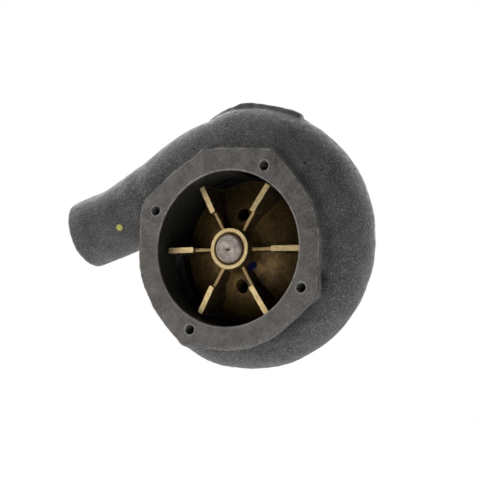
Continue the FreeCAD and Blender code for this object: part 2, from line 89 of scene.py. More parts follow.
@dataclass(frozen=True)
class Patch:
    """A grid of points, rows by columns by (x, depth, z), that may close on itself either way."""

    points: Array
    wrap_rows: bool = False
    wrap_columns: bool = True

    def faces(self) -> Array:
        """Four corner numbers for each cell of the grid."""
        rows, columns = self.points.shape[:2]
        index = np.arange(rows * columns).reshape(rows, columns)
        if self.wrap_rows:
            index = np.concatenate([index, index[:1]])
        if self.wrap_columns:
            index = np.concatenate([index, index[:, :1]], axis=1)
        corners = [index[:-1, :-1], index[1:, :-1], index[1:, 1:], index[:-1, 1:]]
        return np.stack(corners, axis=-1).reshape(-1, 4)


def shaft_points(radius: Array, angle: Array, depth: Array) -> Array:
    """Points where x is radius times cosine of angle and z is radius times its sine.

    Args:
        radius: distance from the shaft axis.
        angle: angle round the shaft, in radians.
        depth: distance behind the inlet face.

    Returns:
        Points in the arrays' common shape, with a last axis of three.
    """
    radius, angle, depth = np.broadcast_arrays(radius, angle, depth)
    return np.stack([radius * np.cos(angle), depth, radius * np.sin(angle)], axis=-1)


def circle(columns: int) -> Array:
    """Equally spaced angles of one turn."""
    return np.arange(columns) / columns * TURN


def lathe(profile: Profile, columns: int = 192, ring: bool = False) -> Patch:
    """Surface of revolution: each (radius, depth) corner carried round the shaft.

    Args:
        profile: corners; a solid starts and ends at radius 0.
        columns: facets round the shaft.
        ring: whether the profile closes on itself.

    Returns:
        The surface.
    """
    radius, depth = np.array(profile, float).T[:, :, None]
    return Patch(shaft_points(radius, circle(columns)[None, :], depth), wrap_rows=ring)


def both_faces(face: Profile, start: float, end: float) -> Profile:
    """(radius, depth) corners of a part whose two faces mirror each other.

    Args:
        face: (radius, inset) corners of one face, from the bore to the rim.
        start: depth of the front face.
        end: depth of the back face.

    Returns:
        The front face's corners, then the back face's from the rim to the bore.
    """
    return ([(radius, start + inset) for radius, inset in face]
            + [(radius, end - inset) for radius, inset in reversed(face)])


def capped(rows: Array) -> Array:
    """Rows of points with one more at each end, drawn together at the middle of the last one."""
    first, last = (np.broadcast_to(row.mean(axis=0), row.shape)[None] for row in (rows[0], rows[-1]))
    return np.concatenate([first, rows, last])


def smooth_line(points: Array, spans: int) -> Array:
    """Cubic through the points, whose slope at each is half the step between its neighbours.

    Args:
        points: corners of the line, one per row.
        spans: samples in each span.

    Returns:
        The sampled line, ends included.
    """
    points = np.asarray(points, float)
    slope = np.gradient(points, axis=0)
    t = (np.arange(spans) / spans)[None, :, None]
    start, end = points[:-1, None], points[1:, None]
    leave, arrive = slope[:-1, None], slope[1:, None]
    line = ((2 * t ** 3 - 3 * t ** 2 + 1) * start + (t ** 3 - 2 * t ** 2 + t) * leave
            + (3 * t ** 2 - 2 * t ** 3) * end + (t ** 3 - t ** 2) * arrive)
    return np.concatenate([line.reshape(-1, points.shape[1]), points[-1:]])


def drill(centre: Array, profile: Profile, columns: int = 40) -> Patch:
    """Round cutter whose own axis is parallel to the shaft.

    Args:
        centre: x and z of its axis.
        profile: (radius, depth) corners, from radius 0 to radius 0.
        columns: facets round it.

    Returns:
        The surface.
    """
    patch = lathe(profile, columns)
    return Patch(patch.points + np.array([centre[0], 0.0, centre[1]]))


def ripple(points: Array, wavelength: float, seed: int, waves: int = 26) -> Array:
    """Sum of sine waves in random directions, lengths and phases, of about unit height.

    Args:
        points: where it is wanted, in millimetres.
        wavelength: typical length of a wave.
        seed: picks the waves.
        waves: how many are added.

    Returns:
        One height for each point.
    """
    random = np.random.default_rng(seed)
    direction = random.normal(size=(3, waves))
    direction /= np.linalg.norm(direction, axis=0)
    stretch = random.uniform(0.6, 1.7, waves) * TURN / wavelength
    phase = random.uniform(0, TURN, waves)
    return np.sin(points @ direction * stretch + phase).sum(axis=-1) / math.sqrt(waves / 2)


# ---------------------------------------------------------------- meshes

def make_mesh(name: str, patches: list[Patch]) -> bpy.types.Object:
    """Joins patches in one mesh, closes their poles and points their faces outwards."""
    starts = np.cumsum([0] + [patch.points[..., 0].size for patch in patches])
    points = np.concatenate([patch.points.reshape(-1, 3) for patch in patches]) * MM
    points[:, 1] += INLET_Y
    faces = np.concatenate([patch.faces() + start for patch, start in zip(patches, starts)])
    mesh = bpy.data.meshes.new(name)
    mesh.from_pydata(points.tolist(), [], faces.tolist())
    work = bmesh.new()
    work.from_mesh(mesh)
    bmesh.ops.remove_doubles(work, verts=work.verts, dist=2e-7)
    bmesh.ops.recalc_face_normals(work, faces=work.faces)
    work.to_mesh(mesh)
    work.free()
    piece = bpy.data.objects.new(name, mesh)
    bpy.context.scene.collection.objects.link(piece)
    return piece


def bake_modifiers(piece: bpy.types.Object) -> None:
    """Replaces a piece's mesh with what its modifiers make of it."""
    bpy.context.view_layer.update()
    shown = piece.evaluated_get(bpy.context.evaluated_depsgraph_get())
    before, piece.data = piece.data, bpy.data.meshes.new_from_object(shown)
    piece.modifiers.clear()
    name = before.name
    bpy.data.meshes.remove(before)
    piece.data.name = name


def cast_skin(piece: bpy.types.Object, cell: float, rounds: int) -> None:
    """Melts overlapping surfaces into one skin and rounds its corners as a sand mould does.

    Args:
        piece: the object, whose mesh is replaced.
        cell: size of the new skin's cells, in millimetres.
        rounds: how often the skin is relaxed.
    """
    remesh = piece.modifiers.new("skin", "REMESH")
    remesh.mode = "VOXEL"
    remesh.voxel_size = cell * MM
    relax = piece.modifiers.new("relax", "SMOOTH")
    relax.factor = 0.5
    relax.iterations = rounds
    bake_modifiers(piece)


def machine(piece: bpy.types.Object, cutter: list[Patch]) -> None:
    """Cuts closed surfaces out of a piece, one after the other."""
    for patch in cutter:
        tool = make_mesh("cutter", [patch])
        cut = piece.modifiers.new("cut", "BOOLEAN")
        cut.operation = "DIFFERENCE"
        cut.solver = "MANIFOLD"
        cut.object = tool
        bake_modifiers(piece)
        mesh = tool.data
        bpy.data.objects.remove(tool)
        bpy.data.meshes.remove(mesh)


def thin_out(piece: bpy.types.Object, limit: int) -> None:
    """Collapses edges where the surface is flattest until a piece has few enough triangles."""
    piece.data.calc_loop_triangles()
    count = len(piece.data.loop_triangles)
    if count > limit:
        fewer = piece.modifiers.new("fewer", "DECIMATE")
        fewer.ratio = limit / count
        bake_modifiers(piece)


def vertex_array(mesh: bpy.types.Mesh, name: str) -> Array:
    """A three-part vertex property, such as co or normal, as an array."""
    values = np.empty(len(mesh.vertices) * 3)
    mesh.vertices.foreach_get(name, values)
    return values.reshape(-1, 3)


def move_along_normals(piece: bpy.types.Object, height: Array) -> None:
    """Moves every vertex along its normal by a height in millimetres."""
    mesh = piece.data
    moved = vertex_array(mesh, "co") + vertex_array(mesh, "normal") * height[:, None] * MM
    mesh.vertices.foreach_set("co", moved.ravel())
    mesh.update()


def shaft_coordinates(piece: bpy.types.Object) -> Array:
    """A piece's vertices as (x, depth, z) in millimetres."""
    points = vertex_array(piece.data, "co")
    points[:, 1] -= INLET_Y
    return points / MM


def face_arrays(piece: bpy.types.Object) -> tuple[Array, Array]:
    """Centres, as (x, depth, z) in millimetres, and normals of a piece's faces."""
    polygons = piece.data.polygons
    centre, normal = np.empty(len(polygons) * 3), np.empty(len(polygons) * 3)
    polygons.foreach_get("center", centre)
    polygons.foreach_get("normal", normal)
    centre = centre.reshape(-1, 3)
    centre[:, 1] -= INLET_Y
    return centre / MM, normal.reshape(-1, 3)


def shade(piece: bpy.types.Object, crease: float = 32.0) -> None:
    """Smooth shading, with edges sharper than the crease angle kept sharp."""
    piece.data.shade_smooth()
    piece.data.set_sharp_from_angle(angle=math.radians(crease))


def set_slots(piece: bpy.types.Object, materials: list[bpy.types.Material],
              choice: Array | None = None) -> None:
    """Gives a piece its materials, and each face one of them.

    Args:
        piece: the object.
        materials: its slots, in order.
        choice: slot number of each face, or None for the first everywhere.
    """
    piece.data.materials.clear()
    for material in materials:
        piece.data.materials.append(material)
    if choice is None:
        choice = np.zeros(len(piece.data.polygons), int)
    piece.data.polygons.foreach_set("material_index", choice.astype(np.int32))


# ---------------------------------------------------------------- finishes

class Graph:
    """Writes a material's nodes from short calls.  Lengths are in millimetres."""

    def __init__(self, name: str) -> None:
        """Starts a named material and its place in millimetres."""
        self.material = bpy.data.materials.new(name)
        self.material.use_nodes = True
        self.tree = self.material.node_tree
        self.shader = self.tree.nodes["Principled BSDF"]
        place = self.node("ShaderNodeTexCoord").outputs["Object"]
        self.place = self.vector("SCALE", place, scale=1 / MM)

    def node(self, kind: str, **settings: object) -> bpy.types.Node:
        """Adds a node and sets its properties."""
        made = self.tree.nodes.new(kind)
        for name, value in settings.items():
            setattr(made, name, value)
        return made

    def feed(self, socket: bpy.types.NodeSocket, value: object) -> None:
        """Links a socket, or sets a number or colour, on an input."""
        if isinstance(value, bpy.types.NodeSocket):
            self.tree.links.new(value, socket)
        elif isinstance(value, tuple) and len(value) == 3 and socket.type == "RGBA":
            socket.default_value = (*value, 1.0)
        else:
            socket.default_value = value

    def set(self, **inputs: object) -> None:
        """Feeds the shader's inputs, named with underscores for spaces."""
        for name, value in inputs.items():
            self.feed(self.shader.inputs[name.replace("_", " ")], value)

    def vector(self, operation: str, first: object, second: object = None,
               scale: float | None = None) -> bpy.types.NodeSocket:
        """Vector arithmetic; DOT_PRODUCT and LENGTH and DISTANCE give a number."""
        made = self.node("ShaderNodeVectorMath", operation=operation)
        self.feed(made.inputs[0], first)
        if second is not None:
            self.feed(made.inputs[1], second)
        if scale is not None:
            made.inputs["Scale"].default_value = scale
        number = operation in ("DOT_PRODUCT", "LENGTH", "DISTANCE")
        return made.outputs["Value" if number else "Vector"]

    def number(self, operation: str, first: object, second: object = 0.0) -> bpy.types.NodeSocket:
        """Arithmetic on one or two numbers, held between 0 and 1 where it is a mask."""
        made = self.node("ShaderNodeMath", operation=operation)
        self.feed(made.inputs[0], first)
        self.feed(made.inputs[1], second)
        return made.outputs[0]

    def times(self, first: object, second: object) -> bpy.types.NodeSocket:
        """Product of two values, which are usually masks."""
        return self.number("MULTIPLY", first, second)

    def blend(self, first: object, second: object, share: float) -> bpy.types.NodeSocket:
        """Weighted sum of two values, in which the second has the share."""
        return self.number("ADD", self.times(first, 1 - share), self.times(second, share))

    def noise(self, size: float, detail: float = 4.0, rough: float = 0.6) -> bpy.types.NodeSocket:
        """Cloudy noise whose features are about a size across, from 0 to 1."""
        made = self.node("ShaderNodeTexNoise")
        self.feed(made.inputs["Vector"], self.place)
        made.inputs["Scale"].default_value = 1 / size
        made.inputs["Detail"].default_value = detail
        made.inputs["Roughness"].default_value = rough
        return made.outputs["Fac"]

    def cells(self, size: float) -> bpy.types.NodeSocket:
        """Distance from the middle of scattered cells, from 0."""
        made = self.node("ShaderNodeTexVoronoi")
        self.feed(made.inputs["Vector"], self.place)
        made.inputs["Scale"].default_value = 1 / size
        return made.outputs["Distance"]

    def band(self, value: object, low: float, high: float,
             start: float = 0.0, end: float = 1.0) -> bpy.types.NodeSocket:
        """Smooth step of a value, from start at low to end at high."""
        made = self.node("ShaderNodeMapRange", interpolation_type="SMOOTHSTEP")
        self.feed(made.inputs["Value"], value)
        for name, number in (("From Min", low), ("From Max", high), ("To Min", start), ("To Max", end)):
            made.inputs[name].default_value = number
        return made.outputs["Result"]

    def mix(self, share: object, first: object, second: object) -> bpy.types.NodeSocket:
        """Colour between two, by a share from 0 to 1."""
        made = self.node("ShaderNodeMix", data_type="RGBA")
        self.feed(made.inputs["Factor"], share)
        self.feed(made.inputs[6], first)
        self.feed(made.inputs[7], second)
        return made.outputs[2]

    def bump(self, height: object, depth: float) -> bpy.types.NodeSocket:
        """Normal of a relief whose full height is a depth in millimetres."""
        made = self.node("ShaderNodeBump")
        self.feed(made.inputs["Height"], height)
        made.inputs["Distance"].default_value = depth * MM
        return made.outputs["Normal"]

    def edges(self, radius: float) -> bpy.types.NodeSocket:
        """1 within about a radius of a sharp edge, 0 elsewhere."""
        rounded = self.node("ShaderNodeBevel", samples=6)
        rounded.inputs["Radius"].default_value = radius * MM
        plain = self.node("ShaderNodeNewGeometry").outputs["Normal"]
        agree = self.vector("DOT_PRODUCT", rounded.outputs["Normal"], plain)
        return self.band(agree, 0.995, 0.86)

    def painted(self, colour: bpy.types.NodeSocket, mark: "PaintMark | None") -> bpy.types.NodeSocket:
        """The colour with a ragged round mark over it, if there is one."""
        if mark is None:
            return colour
        away = self.vector("DISTANCE", self.place, tuple(c / MM for c in mark.place))
        ragged = self.number("ADD", away, self.noise(1.6, 3.0))
        dab = self.band(ragged, mark.size / 2 + 0.8, mark.size / 2 + 0.2)
        return self.mix(dab, colour, mark.colour)

    def shaft_radius(self) -> bpy.types.NodeSocket:
        """Distance from the shaft axis."""
        return self.vector("LENGTH", self.vector("MULTIPLY", self.place, (1.0, 0.0, 1.0)))


@dataclass(frozen=True)
class PaintMark:
    """A small inspection dab, or a pit where its colour is black.

    Attributes:
        place: its middle, in metres in the frame.
        size: its width in millimetres.
        colour: paint colour.
    """

    place: Triple
    size: float
    colour: Colour


@dataclass(frozen=True)
class CastIron:
    """Bare sand-cast iron: granular, mottled, scuffed lighter on its edges."""

    dark: Colour = (0.017, 0.017, 0.018)
    light: Colour = (0.102, 0.100, 0.097)
    worn: Colour = (0.27, 0.265, 0.255)
    grain: float = 1.0
    relief: float = 0.5
    pit: PaintMark | None = None
    mark: PaintMark | None = None

    def build(self, name: str) -> bpy.types.Material:
        """The material."""
        graph = Graph(name)
        mottle = graph.band(graph.noise(17.0, 5.0, 0.65), 0.33, 0.70)
        grain = graph.noise(self.grain, 5.0, 0.72)
        clusters = graph.noise(3.4, 4.0, 0.66)
        tone = graph.blend(mottle, graph.band(grain, 0.42, 0.60), 0.70)
        colour = graph.mix(tone, self.dark, self.light)
        sparks = graph.times(graph.band(graph.noise(1.0, 2.0, 0.6), 0.57, 0.68),
                             graph.band(graph.noise(48.0, 2.0), 0.42, 0.60, 0.15, 0.55))
        colour = graph.mix(sparks, colour, self.worn)
        scuffs = graph.times(graph.band(clusters, 0.60, 0.72),
                             graph.band(graph.noise(42.0, 2.0), 0.46, 0.66))
        colour = graph.mix(graph.times(scuffs, 0.30), colour, self.worn)
        wear = graph.times(graph.edges(0.9), graph.band(clusters, 0.30, 0.60))
        colour = graph.mix(graph.times(wear, 0.55), colour, self.worn)
        pores = graph.times(graph.band(graph.cells(7.5), 0.085, 0.05),
                            graph.band(graph.noise(30.0, 1.0), 0.52, 0.60))
        colour = graph.mix(pores, colour, (0.012, 0.012, 0.012))
        rough = graph.band(clusters, 0.3, 0.7, 0.50, 0.74)
        colour = graph.painted(graph.painted(colour, self.pit), self.mark)
        height = graph.number("ADD", graph.times(grain, 0.62), graph.times(clusters, 0.55))
        height = graph.number("SUBTRACT", height, graph.times(pores, 1.4))
        graph.set(Base_Color=colour, Roughness=rough, Metallic=0.12, Specular_IOR_Level=0.42,
                  Normal=graph.bump(height, self.relief))
        return graph.material


@dataclass(frozen=True)
class MachinedIron:
    """Iron faced on a lathe and dulled since: smooth, brownish, with faint tool rings."""

    dark: Colour = (0.052, 0.045, 0.040)
    light: Colour = (0.150, 0.136, 0.124)
    worn: Colour = (0.48, 0.46, 0.43)
    ring_pitch: float = 0.45

    def build(self, name: str) -> bpy.types.Material:
        """The material."""
        graph = Graph(name)
        mottle = graph.band(graph.noise(9.0, 6.0, 0.68), 0.30, 0.72)
        grain = graph.noise(1.4, 4.0, 0.7)
        tone = graph.blend(mottle, graph.band(grain, 0.38, 0.64), 0.5)
        colour = graph.mix(tone, self.dark, self.light)
        specks = graph.times(graph.band(graph.noise(1.9, 4.0, 0.7), 0.60, 0.72),
                             graph.band(graph.noise(24.0, 2.0), 0.45, 0.62))
        colour = graph.mix(graph.times(specks, 0.45), colour, self.worn)
        wear = graph.times(graph.edges(2.4), graph.band(graph.noise(3.0, 3.0), 0.30, 0.56))
        colour = graph.mix(graph.times(wear, 0.8), colour, self.worn)
        phase = graph.times(graph.shaft_radius(), TURN / self.ring_pitch)
        rings = graph.times(graph.number("SINE", phase), 0.12)
        graph.set(Base_Color=colour, Metallic=0.30, Specular_IOR_Level=0.45,
                  Roughness=graph.band(grain, 0.3, 0.7, 0.44, 0.62),
                  Normal=graph.bump(graph.number("ADD", rings, grain), 0.12))
        return graph.material


@dataclass(frozen=True)
class CastBronze:
    """Cast bronze skin, tarnished brown, with painted shade on faces turned away from the front, a
    painted highlight on front-facing tops near the front, and rubbed lighter on its edges.
    """

    dark: Colour = (0.040, 0.023, 0.006)
    light: Colour = (0.235, 0.140, 0.043)
    # lighter colour for rubbed edges (real wear) and for the painted highlight on front-facing tops
    wear_and_highlight: Colour = (0.50, 0.36, 0.16)
    # colour of the painted shade on faces turned away from the front
    painted_side_shade: Colour = (0.012, 0.010, 0.006)
    mark: PaintMark | None = None

    def build(self, name: str) -> bpy.types.Material:
        """The material."""
        graph = Graph(name)
        mottle = graph.band(graph.noise(11.0, 6.0, 0.7), 0.32, 0.70)
        grain = graph.noise(1.1, 4.0, 0.66)
        tone = graph.blend(mottle, graph.band(grain, 0.36, 0.68), 0.5)
        colour = graph.mix(tone, self.dark, self.light)
        # painted shade: faces turned away from the front are darkened towards near black
        facing = graph.vector("DOT_PRODUCT", graph.node("ShaderNodeNewGeometry").outputs["Normal"],
                              (0.0, -1.0, 0.0))
        colour = graph.mix(graph.band(facing, 0.35, 0.05, 0.0, 0.6), colour, self.painted_side_shade)
        # painted highlight: front-facing tops near the front are lightened
        depth = graph.vector("DOT_PRODUCT", graph.place, (0.0, 1.0, 0.0))
        front_highlight = graph.times(graph.band(facing, 0.55, 0.8),
                           graph.band(depth, INLET_Y / MM + 17.0, INLET_Y / MM + 14.0, 0.0, 0.62))
        colour = graph.mix(front_highlight, colour, self.wear_and_highlight)
        rubbed = graph.times(graph.edges(0.9), graph.band(grain, 0.34, 0.6))
        colour = graph.mix(graph.times(rubbed, 0.8), colour, self.wear_and_highlight)
        colour = graph.painted(colour, self.mark)
        graph.set(Base_Color=colour, Metallic=0.55, Roughness=graph.band(mottle, 0.0, 1.0, 0.62, 0.46),
                  Normal=graph.bump(grain, 0.26))
        return graph.material


@dataclass(frozen=True)
class BrightMetal:
    """Machined bare metal with tool marks that run round the shaft or straight across."""

    dark: Colour
    light: Colour
    rough: float = 0.34
    metallic: float = 1.0
    ring_pitch: float = 0.35
    ring_height: float = 0.02
    stain: Colour = (0.05, 0.045, 0.035)
    stain_share: float = 0.35

    def build(self, name: str) -> bpy.types.Material:
        """The material."""
        graph = Graph(name)
        fine = graph.noise(0.7, 4.0, 0.7)
        mottle = graph.band(graph.noise(4.5, 5.0, 0.65), 0.30, 0.70)
        tone = graph.blend(mottle, graph.band(fine, 0.35, 0.68), 0.45)
        colour = graph.mix(tone, self.dark, self.light)
        stains = graph.times(graph.band(graph.noise(2.6, 5.0, 0.72), 0.56, 0.70), self.stain_share)
        colour = graph.mix(stains, colour, self.stain)
        phase = graph.times(graph.shaft_radius(), TURN / self.ring_pitch)
        along = graph.node("ShaderNodeSeparateXYZ")
        graph.feed(along.inputs[0], graph.place)
        phase = graph.number("ADD", phase, graph.times(along.outputs["Y"], TURN / self.ring_pitch))
        rings = graph.times(graph.number("SINE", phase), 0.5)
        height = graph.number("ADD", rings, graph.times(fine, 0.8))
        graph.set(Base_Color=colour, Metallic=self.metallic,
                  Roughness=graph.band(mottle, 0.0, 1.0, self.rough + 0.12, self.rough),
                  Normal=graph.bump(height, self.ring_height))
        return graph.material


@dataclass(frozen=True)
class SoftBlack:
    """Moulded rubber or pressed carbon: near black, with a fine bloom."""

    dark: Colour = (0.012, 0.012, 0.012)
    light: Colour = (0.040, 0.040, 0.042)
    rough: float = 0.62
    relief: float = 0.03

    def build(self, name: str) -> bpy.types.Material:
        """The material."""
        graph = Graph(name)
        bloom = graph.band(graph.noise(3.0, 5.0, 0.65), 0.34, 0.70)
        grain = graph.noise(0.35, 3.0, 0.6)
        graph.set(Base_Color=graph.mix(bloom, self.dark, self.light),
                  Roughness=graph.band(bloom, 0.0, 1.0, self.rough - 0.1, self.rough + 0.08),
                  Normal=graph.bump(grain, self.relief))
        return graph.material


@dataclass(frozen=True)
class LappedCeramic:
    """Pale fired ceramic with a lapped face and faint grey clouds."""

    dark: Colour = (0.62, 0.60, 0.55)
    light: Colour = (0.80, 0.79, 0.74)

    def build(self, name: str) -> bpy.types.Material:
        """The material."""
        graph = Graph(name)
        clouds = graph.band(graph.noise(5.0, 4.0), 0.35, 0.65)
        graph.set(Base_Color=graph.mix(clouds, self.dark, self.light),
                  Roughness=graph.band(clouds, 0.0, 1.0, 0.16, 0.28),
                  Normal=graph.bump(graph.noise(0.5, 3.0), 0.006))
        return graph.material


class Stock(Enum):
    """The plain finishes that carried-over pieces are made in."""

    POLISHED_STEEL = BrightMetal((0.50, 0.50, 0.51), (0.66, 0.66, 0.67), rough=0.14, ring_pitch=0.8,
                                 ring_height=0.004, stain_share=0.06)
    PRESSED_STEEL = BrightMetal((0.26, 0.26, 0.27), (0.42, 0.42, 0.43), rough=0.36, ring_pitch=2.2,
                                ring_height=0.010, stain_share=0.25)
    SPRING_STEEL = BrightMetal((0.07, 0.07, 0.075), (0.16, 0.16, 0.17), rough=0.34, ring_pitch=1.4,
                               ring_height=0.006, stain_share=0.30)
    SHEET_BRASS = BrightMetal((0.46, 0.33, 0.13), (0.64, 0.48, 0.22), rough=0.26, ring_pitch=1.1,
                              ring_height=0.006, stain_share=0.20)
    RUBBER = SoftBlack()
    CARBON = SoftBlack((0.022, 0.022, 0.024), (0.055, 0.055, 0.060), rough=0.38, relief=0.01)
    CERAMIC = LappedCeramic()


# ---------------------------------------------------------------- casting

@dataclass
class Scroll:
    """The spiral part of the casting, and its water passage when it is inset by a wall.

    Its outer radius climbs out of the flange by a stretched exponential of the angle turned, and
    then grows to the outlet by a sine raised to a power, as the half width does.  Beyond the
    outlet both fall back on a smooth step to where the wrap starts.
    """

    early_radius: float = 92.24
    late_radius: float = 113.6
    climb: float = 20.24
    climb_angle: float = 22.7
    climb_power: float = 1.33
    growth_start: float = 95.0
    growth_power: float = 1.09
    start_width: float = 12.0
    end_width: float = 28.0
    width_power: float = 1.3
    root_radius: float = 50.0
    centre_depth: float = 36.5
    outlet_angle: float = 90.0
    wrap: float = 270.0

    def size(self, angle: Array) -> tuple[Array, Array]:
        """Centre radius and half width at angles in degrees from -180 to 180."""
        turned = np.clip(angle + 180.0, 0.0, self.wrap)
        short = self.climb * np.exp(-(turned / self.climb_angle) ** self.climb_power)
        grown = np.maximum(turned - self.growth_start, 0.0) / (self.wrap - self.growth_start)
        growth = np.sin(math.pi / 2 * grown) ** self.growth_power
        outer = self.early_radius - short + (self.late_radius - self.early_radius) * growth
        share = turned / self.wrap
        width = self.start_width + (self.end_width - self.start_width) * (
            np.sin(math.pi / 2 * share) ** self.width_power)
        fall = np.clip((angle - self.outlet_angle) / 90.0, 0.0, 1.0)
        step = fall * fall * (3 - 2 * fall)
        centre = outer - width
        centre = centre + (self.early_radius - self.climb - self.start_width - centre) * step
        return centre, width + (self.start_width - width) * step

    def patch(self, inset: float, last_angle: float = 180.0) -> Patch:
        """U section carried round the shaft: straight flanks, half round crown, straight root.

        Args:
            inset: how far the section is drawn in on all sides.
            last_angle: where it stops, in degrees; 180 closes it on its own start.

        Returns:
            The surface, with flat ends where it doesn't close.
        """
        whole = last_angle >= 180.0
        angle = np.linspace(-180.0, last_angle, 240, endpoint=not whole)
        centre, width = self.size(angle)
        width = (width - inset)[:, None]
        along = np.arange(80) / 80
        crown = math.pi * np.clip((along - 0.2) / 0.4, 0.0, 1.0)[None, :]
        flank = np.clip(np.minimum(along / 0.2, (0.8 - along) / 0.2), 0.0, 1.0)[None, :]
        radius = self.root_radius + (centre[:, None] - self.root_radius) * flank
        radius = radius + width * np.sin(crown)
        across = 1 - 2 * np.clip((along - 0.8) / 0.2, 0.0, 1.0)[None, :]
        depth = self.centre_depth - width * np.cos(crown) * np.where(along < 0.8, 1.0, -across)
        points = shaft_points(radius, np.radians(angle)[:, None], depth)
        return Patch(points if whole else capped(points), wrap_rows=whole)


@dataclass
class OutletDuct:
    """Round duct that leaves the top of the scroll, drops to the left and ends in a hose neck."""

    shoulder: tuple[float, float] = (-44.0, 70.1)
    middle: tuple[float, float] = (-81.0, 47.2)
    end: tuple[float, float] = (-148.8, 18.0)
    neck_slope: float = 18.0
    neck_length: float = 38.0
    neck_radius: float = 28.5
    neck_taper: float = 0.5
    bore_radius: float = 23.5
    end_round: float = 3.0

    def line(self, scroll: Scroll) -> Array:
        """Middle line as x and z, from the top of the scroll to the end of the neck."""
        slope = math.radians(self.neck_slope)
        end = np.array(self.end)
        neck = end + self.neck_length * np.array([math.cos(slope), math.sin(slope)])
        top = float(scroll.size(np.array(scroll.outlet_angle))[0])
        lead = [(38.0, top), (0.0, top)]
        bend = smooth_line(np.array([*lead, self.shoulder, self.middle, tuple(neck), tuple(end)]), 14)
        share = np.linspace(0, 1, 24)[:, None]
        straight = neck + (end - neck) * share
        return np.concatenate([bend[14:-14], straight])

    def patch(self, scroll: Scroll, start: float, finish: float, overrun: float = 0.0) -> Patch:
        """Circles carried along the middle line, their radius easing from start to finish.

        The neck then narrows by its taper towards its end.

        Args:
            scroll: where the line starts.
            start: radius at the scroll.
            finish: radius of the neck.
            overrun: how far a cutter runs past the end; 0 rounds the end's edge instead.

        Returns:
            The closed surface.
        """
        line = self.line(scroll)
        tangent = np.gradient(line, axis=0)
        tangent /= np.linalg.norm(tangent, axis=1, keepdims=True)
        length = np.concatenate([[0], np.cumsum(np.linalg.norm(np.diff(line, axis=0), axis=1))])
        ease = np.clip(length / (length[-1] - self.neck_length), 0, 1)
        radius = start + (finish - start) * ease * ease * (3 - 2 * ease)
        left = length[-1] - length
        radius = radius - self.neck_taper * np.clip(1 - left / self.neck_length, 0, 1)
        if overrun:
            line = np.concatenate([line, line[-1:] + tangent[-1:] * overrun])
            tangent = np.concatenate([tangent, tangent[-1:]])
            radius = np.append(radius, radius[-1])
        else:
            edge = np.clip(1 - left / self.end_round, 0, 1)
            radius = radius - self.end_round * (1 - np.sqrt(1 - edge ** 2))
        line = np.concatenate([line[:1], line, line[-1:]])
        tangent = np.concatenate([tangent[:1], tangent, tangent[-1:]])
        radius = np.concatenate([[0.0], radius, [0.0]])[:, None]
        round_it = circle(72)[None, :]
        side = radius * np.cos(round_it)
        x = line[:, :1] + side * tangent[:, 1:]
        z = line[:, 1:] - side * tangent[:, :1]
        depth = scroll.centre_depth + radius * np.sin(round_it)
        return Patch(np.stack([x, depth, z], axis=-1))


